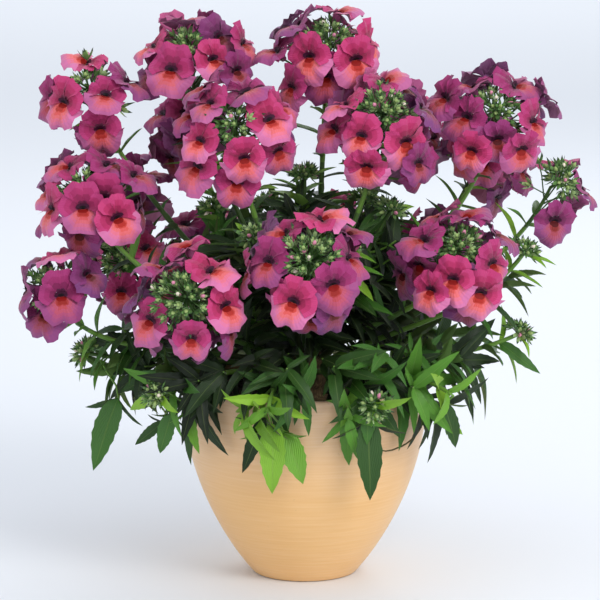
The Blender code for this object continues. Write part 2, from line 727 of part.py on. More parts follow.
def union(name, stem, pieces, solver):
    """The stem and its pieces joined by one Boolean on their collection, and whether that is closed."""
    group = bpy.data.collections.new(name + "_pieces")
    for piece in pieces:
        add_object(name + "_piece", mesh_from(name + "_piece", piece), None, group)
    core = add_object(name + "_core", mesh_from(name + "_core", stem), None)
    join = core.modifiers.new("union", "BOOLEAN")
    join.operation = "UNION"
    join.operand_type = "COLLECTION"
    join.collection = group
    join.solver = solver
    bpy.context.view_layer.update()
    shape = bmesh.new()
    shape.from_mesh(core.evaluated_get(bpy.context.evaluated_depsgraph_get()).to_mesh())
    for body in list(group.objects) + [core]:
        bpy.data.meshes.remove(body.data)
    bpy.data.collections.remove(group)
    return shape, keep_one_body(shape)


def fuse(name, stem, pieces, material):
    """One closed body of the stem and what grows from it, with fewer pieces where they will not join."""
    for dropped in range(len(pieces)):
        for solver in ("EXACT", "MANIFOLD"):
            shape, closed = union(name, stem, pieces[:len(pieces) - dropped], solver)
            if closed:
                return add_object(name, mesh_of(name, shape), material)
            shape.free()
    raise ValueError(name + " does not join into one closed body")


def build():
    for body in list(bpy.data.objects):
        bpy.data.objects.remove(body, do_unlink=True)

    glaze = finish("glazed_earthenware", POT_GOLD, 0.35)
    earth = finish("potting_soil", SOIL_BROWN, 0.95)
    bark = finish("young_bark", BARK_BROWN, 0.8)
    green = finish("stem_green", STEM_GREEN, 0.5)
    foliage = finish("leaf_green", LEAF_GREEN, 0.45)
    petals = finish("petal_pink", PETAL_PINK, 0.55)

    add_object("pot", mesh_of("pot", lathe(pot_outline(), POT_SIDES)), glaze)
    add_object("soil", mesh_of("soil", lathe(soil_outline(), POT_SIDES)), earth)
    crown = lathe(crown_outline(), CROWN_SIDES, CROWN_LEAN, KNOB_HEIGHT)
    knob = BVHTree.FromBMesh(crown)
    add_object("crown", mesh_of("crown", crown), bark)

    walls = [BVHTree.FromBMesh(lathe(pot_outline(CLEARANCE), POT_SIDES)),
             BVHTree.FromBMesh(lathe(soil_outline(SOIL_LEVEL + CLEARANCE), POT_SIDES))]
    masses = all_masses()
    route_limbs(masses, walls)
    trim_tips(masses, Spaces(masses, walls + [knob]))
    spaces = Spaces(masses, walls + [knob])

    for index, mass in enumerate(masses):
        if mass.kind == "bloom":
            neck = 1 - HEAD_NECK / mass.length
            gap = GAP / mass.length
            radii = np.linspace(STEM_FOOT_RADIUS, STEM_TIP_RADIUS, STEM_STATIONS)
            stem = tube(stretch(mass.path, 0, neck, STEM_STATIONS), radii, STEM_SIDES)
            add_object("stem_" + mass.name, mesh_from("stem_" + mass.name, stem), green)
            top = mass.middle + mass.axis * BUD_KNOT_RISE
            spine = np.vstack((stretch(mass.path, neck + gap, 1, 3), top))
            core = tube(spine, np.linspace(STEM_TIP_RADIUS, SPINE_TIP_RADIUS, 4), SPINE_SIDES)
            fuse("bloom_" + mass.name, core, grow_bloom(index, mass, spaces), petals)
        else:
            core = tube(stretch(mass.path, 0, 1, STEM_STATIONS),
                        np.linspace(SHOOT_FOOT_RADIUS, SHOOT_TIP_RADIUS, STEM_STATIONS), SHOOT_SIDES)
            fuse("foliage_" + mass.name, core, grow_foliage(index, mass, core, spaces, masses), foliage)


build()
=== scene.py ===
"""The looks of a potted nemesia: a bushy patio plant in full flower, in an egg-shaped glazed pot.

Everything is in metres, +Z up, and the front of the plant faces -Y. The pot and its soil come first, then
the woody crown and the limbs that leave it, the leafy shoots and a dry stalk that lies against the pot, and
the flower heads and buds. The floor, the lights and the camera come last.
"""
import functools
import itertools
import math
from types import SimpleNamespace

import bpy
import numpy as np
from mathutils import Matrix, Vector
from mathutils.bvhtree import BVHTree


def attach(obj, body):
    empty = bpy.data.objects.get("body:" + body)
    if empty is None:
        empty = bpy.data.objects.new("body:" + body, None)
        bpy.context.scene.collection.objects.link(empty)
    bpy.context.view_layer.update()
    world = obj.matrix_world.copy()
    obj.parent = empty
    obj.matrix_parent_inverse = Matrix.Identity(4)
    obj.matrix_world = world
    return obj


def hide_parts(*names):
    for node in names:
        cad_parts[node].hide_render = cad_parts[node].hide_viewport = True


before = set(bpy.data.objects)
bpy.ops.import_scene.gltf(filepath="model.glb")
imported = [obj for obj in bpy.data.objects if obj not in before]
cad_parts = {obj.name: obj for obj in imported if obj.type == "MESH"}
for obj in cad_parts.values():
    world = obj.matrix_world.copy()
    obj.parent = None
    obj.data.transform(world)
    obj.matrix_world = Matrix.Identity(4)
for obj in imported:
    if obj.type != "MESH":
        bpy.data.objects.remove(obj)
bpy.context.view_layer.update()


# Pot
# Earthenware thrown on a wheel, egg-shaped, dipped in one coat of honey-coloured satin glaze.
# The thrower's fingers left fine rings round the wall, and the glaze pales towards the rim.
POT_HEIGHT = 0.120
POT_FOOT_RADIUS = 0.032
POT_RIM_RADIUS = 0.0750
POT_BELLY = ((0.0500, 0.0200), (0.0775, 0.0660))
POT_WALL = 0.0045
POT_FLOOR = 0.0070
POT_ROWS = 180
POT_SIDES = 144
RIM_ROWS = 9
RING_PITCH = 0.0021
RING_DEPTH = 0.00010


def linear(code):
    """Linear red, green and blue of an sRGB hex colour."""
    parts = np.array([int(code[k:k + 2], 16) for k in (1, 3, 5)]) / 255
    return np.where(parts <= 0.04045, parts / 12.92, ((parts + 0.055) / 1.055) ** 2.4)


def node(material, kind, inputs=(), **settings):
    """Add a shader node: settings by name, and inputs as plain values or another node's output."""
    made = material.node_tree.nodes.new("ShaderNode" + kind)
    for name, value in settings.items():
        setattr(made, name, value)
    for name, value in dict(inputs).items():
        if isinstance(value, bpy.types.NodeSocket):
            material.node_tree.links.new(value, made.inputs[name])
        else:
            made.inputs[name].default_value = value
    return made


def finish(name, colour, roughness, **sockets):
    """A material with one colour and gloss, and its shader. Other sockets go by name, _ for a space."""
    material = bpy.data.materials.new(name)
    material.use_nodes = True
    shader = material.node_tree.nodes["Principled BSDF"]
    shader.inputs["Base Color"].default_value = (*colour, 1.0)
    shader.inputs["Roughness"].default_value = roughness
    for socket, value in sockets.items():
        shader.inputs[socket.replace("_", " ")].default_value = value
    return material, shader


def ramp(material, value, *stops):
    """Colour ramp over a value, from (place, hex colour) stops."""
    made = node(material, "ValToRGB", {"Fac": value})
    elements = made.color_ramp.elements
    while len(elements) < len(stops):
        elements.new(0.5)
    for element, (place, code) in zip(elements, stops):
        element.position = place
        element.color = (*linear(code), 1.0)
    return made.outputs["Color"]


def relief(material, shader, height, distance, strength=1.0):
    """Raise a material's surface by a height from 0 to 1, over a real distance in metres."""
    bump = node(material, "Bump", {"Height": height, "Distance": distance, "Strength": strength})
    material.node_tree.links.new(bump.outputs["Normal"], shader.inputs["Normal"])


def noise(material, scale, detail=2.0, stretch=(1, 1, 1)):
    """Noise over the object's own coordinates, with lumps about 1 / scale of a metre across."""
    place = node(material, "TexCoord").outputs["Object"]
    place = node(material, "Mapping", {"Vector": place, "Scale": stretch}).outputs["Vector"]
    return node(material, "TexNoise", {"Vector": place, "Scale": scale, "Detail": detail}).outputs["Fac"]


def corners_of(*grids):
    """Two triangles for each cell of a front grid of point numbers, and of a back grid if there is one,
    less those that a pole folds up. Each cell is cut from a to c, but at the grid's two other corners from
    b to d, so no triangle has all its points on the rim that front and back share. Gives the points in
    use, the triangles, and the grid, row and column of each triangle's cell."""
    triangles = []
    cells = []
    for side, grid in enumerate(grids):
        a, b, c, d = grid[:-1, :-1], grid[:-1, 1:], grid[1:, 1:], grid[1:, :-1]
        row, column = np.indices(a.shape)
        other = (row == 0) & (column == column.max()) | (row == row.max()) & (column == 0)
        for corners in ((a, b, np.where(other, d, c)), (np.where(other, b, a), c, d)):
            corners = np.stack(corners, axis=-1).reshape(-1, 3)
            triangles.append(corners if side == 0 else corners[:, ::-1])
            cells.append(np.stack((np.full_like(row, side), row, column), axis=-1).reshape(-1, 3))
    triangles = np.concatenate(triangles)
    cells = np.concatenate(cells)
    kept = np.all(triangles != np.roll(triangles, 1, axis=1), axis=1)
    used, corners = np.unique(triangles[kept], return_inverse=True)
    return used, corners.reshape(-1, 3), cells[kept]


@functools.cache
def round_skin(rows, columns):
    """Skin of a closed round body: rows of points round it, the first and last row being a pole."""
    grid = np.arange(rows * columns).reshape(rows, columns)
    grid[0] = grid[0, 0]
    grid[-1] = grid[-1, 0]
    return *corners_of(np.column_stack((grid, grid[:, :1]))), (rows, columns)


class Growth:
    """Like shapes gathered for one joined mesh: points, triangles, UV places and finish numbers."""

    def __init__(self):
        self.parts = []
        self.total = 0

    def add(self, points, skin, numbers=0):
        """Add shapes of one skin, by the first index of their points. numbers is one finish number, or one
        for each triangle, or an array of (shapes, triangles)."""
        used, corners, _, (rows, columns) = skin
        points = points.reshape(len(points), -1, 3)[:, used]
        shapes, count = points.shape[:2]
        first = self.total + count * np.arange(shapes)[:, None, None]
        row, column = np.divmod(used % (rows * columns), columns)
        places = np.column_stack((column / (columns - 1), row / (rows - 1)))[corners]
        self.parts.append((points.reshape(-1, 3), (corners + first).reshape(-1, 3),
                           np.tile(places.reshape(-1, 2), (shapes, 1)),
                           np.broadcast_to(numbers, (shapes, len(corners))).ravel()))
        self.total += shapes * count
        return self

    def piece(self, name, slot, materials, *nodes, sharp=75):
        """Make the mesh, smooth but for edges sharper than an angle in degrees, and put it in place of
        the frame's nodes."""
        points, corners, places, numbers = (np.concatenate(part) for part in zip(*self.parts))
        mesh = bpy.data.meshes.new(name)
        mesh.vertices.add(len(points))
        mesh.vertices.foreach_set("co", points.ravel())
        mesh.loops.add(corners.size)
        mesh.loops.foreach_set("vertex_index", corners.ravel())
        mesh.polygons.add(len(corners))
        mesh.polygons.foreach_set("loop_start", np.arange(0, corners.size, 3))
        for material in materials:
            mesh.materials.append(material)
        mesh.polygons.foreach_set("material_index", numbers.astype(np.int32))
        mesh.uv_layers.new(name="UVMap").uv.foreach_set("vector", places.ravel())
        mesh.update(calc_edges=True)
        mesh.shade_smooth()
        mesh.set_sharp_from_angle(angle=math.radians(sharp))
        body = bpy.data.objects.new(name, mesh)
        bpy.context.scene.collection.objects.link(body)
        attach(body, "root")
        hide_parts(*nodes)


def bezier(start, first, second, end, count):
    """Points along cubic curves through their two ends, drawn towards their two handles."""
    t = np.linspace(0.0, 1.0, count)[:, None]
    points = [np.asarray(point, dtype=float)[..., None, :] for point in (start, first, second, end)]
    return ((1 - t) ** 3 * points[0] + 3 * (1 - t) ** 2 * t * points[1]
            + 3 * (1 - t) * t ** 2 * points[2] + t ** 3 * points[3])


def circle(sides):
    """Turns at even steps round a circle."""
    return np.linspace(0, 2 * math.pi, sides, endpoint=False)


def joined(x, y, z):
    """Points from their x, y and z."""
    return np.stack(np.broadcast_arrays(x, y, z), axis=-1)


def turned(outline, sides):
    """Points of a turned body: each (radius, height) of an outline carried round the axis."""
    radius, height = outline[:, :1], outline[:, 1:]
    return joined(radius * np.cos(circle(sides)), radius * np.sin(circle(sides)), height)


wall_line = bezier((POT_FOOT_RADIUS, 0.0), *POT_BELLY, (POT_RIM_RADIUS, POT_HEIGHT), POT_ROWS)
slope = np.gradient(wall_line, axis=0)
outward = np.column_stack((slope[:, 1], -slope[:, 0])) / np.linalg.norm(slope, axis=1)[:, None]
finger_rings = RING_DEPTH * (1 + np.sin(2 * math.pi * wall_line[:, 1] / RING_PITCH)) / 2
outer_line = wall_line - outward * finger_rings[:, None]
inner_line = wall_line - outward * POT_WALL
rim_turn = np.linspace(0, math.pi, RIM_ROWS)[:, None]
rim_top = POT_HEIGHT - POT_WALL / 2
rim_line = np.hstack((POT_RIM_RADIUS - POT_WALL / 2 * (1 - np.cos(rim_turn)),
                      rim_top + POT_WALL / 2 * np.sin(rim_turn)))
hollow_line = inner_line[(inner_line[:, 1] > POT_FLOOR * 1.4) & (inner_line[:, 1] < rim_top)][::-6]
pot_line = np.vstack(((0.0, 0.0), (POT_FOOT_RADIUS * 0.94, 0.0), outer_line[wall_line[:, 1] < rim_top],
                      rim_line, hollow_line, (POT_FOOT_RADIUS * 0.8, POT_FLOOR), (0.0, POT_FLOOR)))

# Satin glaze over fired clay: a soft broad shine, fine brush-like streaks round the pot, a few specks
glaze, shader = finish("honey_glaze_on_earthenware", linear("#E3B06E"), 0.42, Coat_Weight=0.25,
                       Coat_Roughness=0.35)
streaks = noise(glaze, 1.0, 3.0, stretch=(26, 26, 900))
clouds = noise(glaze, 16.0, 2.0)
blended = node(glaze, "Math", {0: streaks, 1: clouds}, operation="ADD").outputs["Value"]
blended = node(glaze, "Math", {0: blended, 1: 0.5}, operation="MULTIPLY").outputs["Value"]
honey = ramp(glaze, blended, (0.34, "#E8B472"), (0.5, "#ECBA7A"), (0.66, "#F0C186"))
cream = ramp(glaze, blended, (0.34, "#E3BA92"), (0.5, "#E9C29C"), (0.66, "#EDCAA8"))
height = node(glaze, "SeparateXYZ", {"Vector": node(glaze, "TexCoord").outputs["Object"]}).outputs["Z"]
upper = node(glaze, "MapRange", {"Value": height, "From Min": 0.055, "From Max": POT_HEIGHT})
tone = node(glaze, "MixRGB", {"Fac": upper.outputs["Result"], "Color1": honey, "Color2": cream})
specks = ramp(glaze, noise(glaze, 420.0, 1.0), (0.76, "#000000"), (0.84, "#808080"))
tone = node(glaze, "MixRGB", {"Fac": specks, "Color1": tone.outputs["Color"],
                              "Color2": (0.45, 0.28, 0.13, 1)})
glaze.node_tree.links.new(tone.outputs["Color"], shader.inputs["Base Color"])
relief(glaze, shader, streaks, 0.00012, 0.3)

pot = Growth().add(turned(pot_line, POT_SIDES)[None], round_skin(len(pot_line), POT_SIDES))
pot.piece("glazed_pot", "glaze", [glaze], "pot")


# Potting soil
# Dark peat and bark crumbs that fill the pot to 12 mm under its rim.
# It lies loose and is mostly in the plant's shade.
SOIL_LEVEL = 0.108
GAP = 0.0003
CLEARANCE = 0.0006
SOIL_ROWS = 46
SOIL_SIDES = 120
CRUMB_HEIGHT = 0.0016

soil_reach = np.interp(SOIL_LEVEL, inner_line[:, 1], inner_line[:, 0]) - GAP
soil_top = np.column_stack((soil_reach * np.linspace(0, 1, SOIL_ROWS), np.full(SOIL_ROWS, SOIL_LEVEL)))
soil_side = inner_line[(inner_line[:, 1] > POT_FLOOR * 1.6) & (inner_line[:, 1] < SOIL_LEVEL)][::-12]
soil_line = np.vstack((soil_top, soil_side - (GAP * 2, 0), (0.0, soil_side[-1, 1])))[::-1]
soil_points = turned(soil_line, SOIL_SIDES)
crumbs = np.random.default_rng(11).uniform(-1, 1, soil_points.shape[:2])
crumbs = (crumbs + np.roll(crumbs, 1, axis=1) + np.roll(crumbs, 1, axis=0)) / 3
crumbs[-1] = 0
soil_points[1 - SOIL_ROWS:, :, 2] += CRUMB_HEIGHT * np.minimum(crumbs[1 - SOIL_ROWS:], 0.3)

# Peat: black-brown, quite dull, with paler bark crumbs 3 mm across
peat, shader = finish("peat_and_bark_soil", linear("#2A1E16"), 0.95)
grains = node(peat, "TexVoronoi", {"Vector": node(peat, "TexCoord").outputs["Object"], "Scale": 330.0})
tone = ramp(peat, grains.outputs["Color"], (0.0, "#120C09"), (0.7, "#2C2018"), (1.0, "#5A422E"))
peat.node_tree.links.new(tone, shader.inputs["Base Color"])
relief(peat, shader, grains.outputs["Distance"], 0.002)

soil = Growth().add(soil_points[None], round_skin(*soil_points.shape[:2]))
soil.piece("potting_soil", "potting_soil", [peat], "soil", sharp=180)


# Crown
# The short woody foot of the plant: a flared base cut flat at soil level, a waist and a knob.
# Old grey-brown bark, split lengthwise. Every stem and shoot grows out of its knob.
CROWN_FOOT_RADIUS = 0.0175
CROWN_WAIST_RADIUS = 0.0120
CROWN_WAIST_HEIGHT = 0.0060
KNOB_RADIUS = 0.0150
KNOB_HEIGHT = 0.0155
CROWN_LEAN = 0.06
CROWN_SIDES = 60

crown_foot = SOIL_LEVEL + GAP
waist_rise = math.asin((KNOB_HEIGHT - CROWN_WAIST_HEIGHT) / KNOB_RADIUS)
knob_rise = np.linspace(-waist_rise, math.pi / 2, 20)[:, None]
knob_line = np.hstack((KNOB_RADIUS * np.cos(knob_rise),
                       crown_foot + KNOB_HEIGHT + KNOB_RADIUS * np.sin(knob_rise)))
flare_line = bezier((CROWN_FOOT_RADIUS, crown_foot), (CROWN_WAIST_RADIUS * 1.05, crown_foot + 0.001),
                    (CROWN_WAIST_RADIUS, crown_foot + 0.003), tuple(knob_line[0]), 10)
crown_points = turned(np.vstack(((0.0, crown_foot), flare_line[:-1], knob_line)), CROWN_SIDES)
ridges = np.sin(9 * circle(CROWN_SIDES) + 40 * crown_points[..., 2])
crown_points[..., :2] *= (1 - 0.03 * (1 + ridges))[..., None]
crown_points[..., 0] += CROWN_LEAN * np.minimum(crown_points[..., 2] - crown_foot, KNOB_HEIGHT)

# Young bark: dull grey-brown, with cracks along it about 1 mm apart
bark, shader = finish("young_stem_bark", linear("#6B5738"), 0.85)
cracks = noise(bark, 1.0, 4.0, stretch=(900, 900, 120))
tone = ramp(bark, cracks, (0.3, "#3A2E1C"), (0.55, "#6B5738"), (0.75, "#8A7A52"))
bark.node_tree.links.new(tone, shader.inputs["Base Color"])
relief(bark, shader, cracks, 0.0008)

crown = Growth().add(crown_points[None], round_skin(*crown_points.shape[:2]))
crown.piece("woody_crown", "bark", [bark], "crown")


# Limbs
# Twenty slender flowering stems and sixteen leafy shoots fan out from the knob, each on one smooth curve.
# They are found by the rule that set the frame's stems and masses, so each lies where its solid does.
STEM_FOOT_RADIUS = 0.0020
STEM_TIP_RADIUS = 0.0014
ROOT_SPREAD = math.radians(21)
ROOT_LOWEST = math.radians(10)
ROOT_ROUNDS = 400
ROOT_STEP = 0.6
HANDLE_SHARE = 0.34
PATH_POINTS = 25
ROUTE_POINTS = 90
BOWS = [0.0] + [0.004 * step * sign for step in range(1, 10) for sign in (1, -1)]
SHOOT_FOOT_RADIUS = 0.0019
HEAD_REACH = 0.054
HEAD_WEIGHT = 0.052
HEAD_UPRIGHT = 1.1
TIP_ROOM = 0.004
RING_SEED = 7
RING_WANDER = 5
TIP_WANDER = 0.006

# Flower heads: name, middle, way it faces (turn from the front, rise) in degrees, number of flowers
HEADS = (
    ("left_top", (-0.128, 0.010, 0.294), (-25, 30), 4),
    ("left_middle", (-0.128, -0.020, 0.234), (-25, 45), 8),
    ("left_low", (-0.148, -0.032, 0.176), (-35, 35), 4),
    ("top_left", (-0.070, 0.025, 0.313), (-12, 52), 8),
    ("upper_left", (-0.041, -0.032, 0.278), (0, 24), 8),
    ("top", (0.014, 0.022, 0.318), (10, 50), 8),
    ("upper_middle", (0.046, -0.022, 0.282), (5, 40), 8),
    ("upper_right", (0.115, 0.002, 0.280), (10, 42), 8),
    ("right_tip", (0.150, 0.012, 0.236), (50, 32), 2),
    ("right_front", (0.089, -0.045, 0.203), (10, 42), 6),
    ("front", (0.002, -0.084, 0.203), (0, 34), 9),
    ("front_left", (-0.068, -0.080, 0.183), (-8, 14), 8),
    ("left_inner", (-0.108, 0.026, 0.186), (-30, 20), 4),
    ("back_top_left", (-0.072, 0.078, 0.268), (-140, 45), 7),
    ("back_top_right", (0.056, 0.082, 0.268), (150, 45), 7),
    ("back_right", (0.112, 0.070, 0.252), (120, 40), 6),
    ("back_left", (-0.118, 0.072, 0.222), (-110, 40), 7),
    ("back_low_left", (-0.066, 0.112, 0.180), (-150, 30), 7),
    ("back_low", (0.018, 0.118, 0.190), (172, 32), 7),
    ("back_low_right", (0.090, 0.100, 0.182), (135, 32), 7),
)

# Leafy shoots over the rim: turn from the front in degrees, (radius, height) of the middle and of the
# tip, and the rise of the tip. Those in front bend down over the rim.
SKIRT_SHOOTS = (
    (-13, (0.091, 0.113), (0.095, 0.120), -0.9),
    (24, (0.091, 0.113), (0.097, 0.121), -0.8),
    (52, (0.096, 0.118), (0.108, 0.124), -0.4),
    (88, (0.103, 0.130), (0.130, 0.148), 0.5),
    (141, (0.098, 0.124), (0.122, 0.144), 0.4),
    (208, (0.098, 0.124), (0.124, 0.146), 0.4),
    (-86, (0.104, 0.124), (0.132, 0.137), 0.2),
    (-50, (0.096, 0.118), (0.111, 0.124), -0.3),
)
SKIRT_FORM = {"reach": 0.074, "weight": 0.050, "leaf_length": 0.050, "droop": 0.45}

# Rings of shoots between the stems: name, number, turn of the first, (radius, height) of the middle and
# of the tip, rise of the tip, and their form, where weight is for the sharing out of the crown
SHOOT_RINGS = (
    ("inner", 6, 26, (0.048, 0.178), (0.056, 0.222), 1.8,
     {"reach": 0.070, "weight": 0.044, "leaf_length": 0.047, "droop": 0.10}),
    ("heart", 1, 180, (0.004, 0.215), (0.006, 0.245), 4.0,
     {"reach": 0.060, "weight": 0.036, "leaf_length": 0.042, "droop": 0.0}),
    ("side", 1, 84, (0.116, 0.176), (0.132, 0.206), 1.5,
     {"reach": 0.060, "weight": 0.042, "leaf_length": 0.044, "droop": 0.15}),
)

FRONT = np.array((0.0, -1.0, 0.0))
UP = np.array((0.0, 0.0, 1.0))
KNOB = np.array((CROWN_LEAN * KNOB_HEIGHT, 0.0, SOIL_LEVEL + GAP + KNOB_HEIGHT))


def unit(vectors):
    """Vectors with the same directions and a length of one."""
    return vectors / np.linalg.norm(vectors, axis=-1, keepdims=True)


def facing(turn, rise):
    """Unit vector that turns from the front towards the right and rises from level, in degrees."""
    turn, rise = math.radians(turn), math.radians(rise)
    return np.array((math.sin(turn) * math.cos(rise), -math.cos(turn) * math.cos(rise), math.sin(rise)))


def leaning(direction, axis):
    """Unit vectors square to an axis that lean as far as they can towards a direction."""
    return unit(direction - np.sum(direction * axis, axis=-1, keepdims=True) * axis)


def across(direction):
    """Two unit vectors square to a direction and to each other."""
    side = unit(np.cross(direction, np.where(np.abs(direction[..., 2:]) < 0.9, UP, FRONT)))
    return side, np.cross(side, direction)


def beside(axis, turn):
    """Unit vector square to an axis, at a turn about it."""
    one, two = across(axis)
    return math.cos(turn) * one + math.sin(turn) * two


def tilted(axis, tilt, turn):
    """Unit vector that leans away from an axis by a tilt, at a turn about it."""
    return math.cos(tilt) * axis + math.sin(tilt) * beside(axis, turn)


def along(path, share):
    """Point and direction at a share of a path's length."""
    steps = np.diff(path, axis=0)
    lengths = np.linalg.norm(steps, axis=1)
    reached = np.concatenate(((0.0,), np.cumsum(lengths)))
    wanted = share * reached[-1]
    piece = min(int(np.searchsorted(reached, wanted, side="right")) - 1, len(steps) - 1)
    rest = (wanted - reached[piece]) / lengths[piece]
    return path[piece] + rest * steps[piece], unit(steps[piece])


def stretch(path, first, last, count):
    """The part of a path between two shares of its length, as count points."""
    return np.array([along(path, share)[0] for share in np.linspace(first, last, count)])


def least_distance(one, other):
    """Least distance between two sets of points."""
    return np.linalg.norm(one[:, None] - other[None], axis=2).min()


def tubes(paths, radii, sides):
    """Points of round tubes: at each station of each path a ring square to it, and a pole at both ends."""
    tangents = unit(np.gradient(paths, axis=1))
    side = leaning(across(unit(paths[:, -1:] - paths[:, :1]))[0], tangents)
    other = np.cross(tangents, side)
    turn = circle(sides)[:, None]
    ring = np.cos(turn) * side[:, :, None] + np.sin(turn) * other[:, :, None]
    points = paths[:, :, None] + np.asarray(radii)[..., None, None] * ring
    poles = np.repeat(paths[:, (0, -1), None], sides, axis=2)
    return np.concatenate((poles[:, :1], points, poles[:, 1:]), axis=1)


def add_tubes(growth, paths, radii, sides, numbers=0):
    """Add round tubes along paths of (tubes, stations, 3) to a joined mesh."""
    points = tubes(np.asarray(paths), radii, sides)
    growth.add(points, round_skin(points.shape[1], sides), numbers)


class Mass(SimpleNamespace):
    """A flower head or a leafy shoot: its space, and the limb that leads from the crown to its tip."""

    def limb(self, root, bow):
        """Curve from the crown's knob to the tip, bowed sideways by a distance."""
        start = KNOB + root * (KNOB_RADIUS + GAP)
        span = np.linalg.norm(self.tip - start)
        sideways = unit(np.cross(self.tip - start, UP)) * bow
        first = start + root * span * HANDLE_SHARE + sideways
        second = self.tip - self.arrival * span * HANDLE_SHARE + sideways
        return bezier(start, first, second, self.tip, PATH_POINTS)


def leafy_shoot(name, turn, middle, tip, rise, form):
    """A shoot that leans to one side, from the (radius, height) of its middle and of its tip."""
    outward = facing(turn, 0)
    middle, tip = (outward * radius + UP * height for radius, height in (middle, tip))
    return Mass(name=name, kind="foliage", middle=middle, tip=tip, arrival=unit(outward + rise * UP), **form)


# Every flower head, with its middle as its tip, and every leafy shoot
masses = []
for name, middle, (turn, rise), flowers in HEADS:
    axis = facing(turn, rise)
    masses.append(Mass(name=name, kind="bloom", middle=np.array(middle), tip=np.array(middle), axis=axis,
                       arrival=unit(axis + HEAD_UPRIGHT * UP), reach=HEAD_REACH, weight=HEAD_WEIGHT,
                       flowers=flowers))
for k, shoot in enumerate(SKIRT_SHOOTS):
    masses.append(leafy_shoot(f"skirt_{k + 1}", *shoot, SKIRT_FORM))
rng = np.random.default_rng(RING_SEED)
for name, number, first, middle, tip, rise, form in SHOOT_RINGS:
    for k in range(number):
        turn = first + 360 * k / number + RING_WANDER * rng.uniform(-1, 1)
        spot = np.array(tip) + TIP_WANDER * rng.uniform(-1, 1, 2)
        masses.append(leafy_shoot(f"{name}_{k + 1}", turn, middle, spot, rise, form))
MIDDLES, REACHES, WEIGHTS = (np.array([getattr(mass, fact) for mass in masses])
                             for fact in ("middle", "reach", "weight"))

# The limbs leave the knob towards their tips, pushed apart until they have room side by side
roots = np.array([unit(mass.tip - KNOB) for mass in masses])
for _ in range(ROOT_ROUNDS):
    cosines = np.clip(roots @ roots.T, -1, 1)
    np.fill_diagonal(cosines, -1)
    lack = np.clip(ROOT_SPREAD - np.arccos(cosines), 0, None)
    roots = roots + ROOT_STEP * np.sum(lack[:, :, None] * (roots[:, None] - roots[None]), axis=1)
    roots[:, 2] = np.maximum(roots[:, 2], math.sin(ROOT_LOWEST))
    roots = unit(roots)

# Each takes the least bow that clears the pot, the soil and the limbs before it
walls = []
for name in ("pot", "soil"):
    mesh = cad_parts[name].data
    walls.append(BVHTree.FromPolygons([vert.co for vert in mesh.vertices],
                                      [face.vertices for face in mesh.polygons]))
used, corners, *_ = round_skin(PATH_POINTS + 2, 6)
routed = []
for mass, root in zip(masses, roots):
    best = None
    for bow in BOWS:
        path = mass.limb(root, bow)
        dense = stretch(path, 0, 1, ROUTE_POINTS)
        free = min([least_distance(dense, other) for other in routed], default=1.0)
        points = tubes(path[None], SHOOT_FOOT_RADIUS + 2 * CLEARANCE, 6).reshape(-1, 3)[used]
        skin = BVHTree.FromPolygons(points.tolist(), corners.tolist())
        blocked = any(skin.overlap(wall) for wall in walls)
        if not blocked and (best is None or free > best[0]):
            best = (free, path, dense)
        if not blocked and free > 2 * STEM_FOOT_RADIUS + CLEARANCE:
            break
    mass.path = best[1]
    mass.length = np.linalg.norm(np.diff(mass.path, axis=0), axis=1).sum()
    routed.append(best[2])


def room(index, points):
    """Least distance of points from the edge of a mass's space: the planes that share out the crown
    between the middles, each by its weight, and the ball of its own reach."""
    powers = np.sum((points[:, None] - MIDDLES[None]) ** 2, axis=2) - WEIGHTS ** 2
    spans = np.linalg.norm(MIDDLES - MIDDLES[index], axis=1)
    spans[index] = 1.0
    planes = (powers - powers[:, index:index + 1]) / (2 * spans)
    planes[:, index] = 1.0
    ball = REACHES[index] - np.linalg.norm(points - MIDDLES[index], axis=1)
    return min(planes.min(), ball.min())


# Each leafy shoot is shortened until its tip lies in its own space
for index, mass in enumerate(masses):
    mass.index = index
    share = 1.0
    while mass.kind == "foliage" and room(index, along(mass.path, share)[0][None]) < TIP_ROOM:
        share -= 0.02
    mass.path = stretch(mass.path, 0, share, len(mass.path))
    mass.length *= share
heads = [mass for mass in masses if mass.kind == "bloom"]
shoots = [mass for mass in masses if mass.kind == "foliage"]
stem_nodes = ["stem_" + head.name for head in heads]
bloom_nodes = ["bloom_" + head.name for head in heads]
shoot_nodes = ["foliage_" + shoot.name for shoot in shoots]


# Flowering stems
# Green square-edged stems, brown-green and firm at the foot and pale green where the head begins.
# Each is one limb from the knob to its head, and goes on inside the head as the stalk the flowers leave.
STEM_SIDES = 12
STEM_STATIONS = 40
STEM_RIDGE = 0.12
STEM_KNOTS = (0.30, 0.48, 0.64, 0.78)
KNOT_SWELL = 0.25
KNOT_LENGTH = 0.012
SPINE_TIP_RADIUS = 0.0010
BUD_KNOT_RISE = 0.0120
HEAD_NECK = 0.030

# Soft stem: a thin waxy green skin with fine hairs, so a soft edge of light; darker and older below
stem_finishes = []
for name, code in (("old", "#3F4B22"), ("firm", "#43651F"), ("young", "#648F2C")):
    material, shader = finish(name + "_stem_skin", linear(code), 0.5, Sheen_Weight=0.15)
    relief(material, shader, noise(material, 1.0, 2.0, stretch=(1500, 1500, 220)), 0.0003, 0.6)
    stem_finishes.append(material)

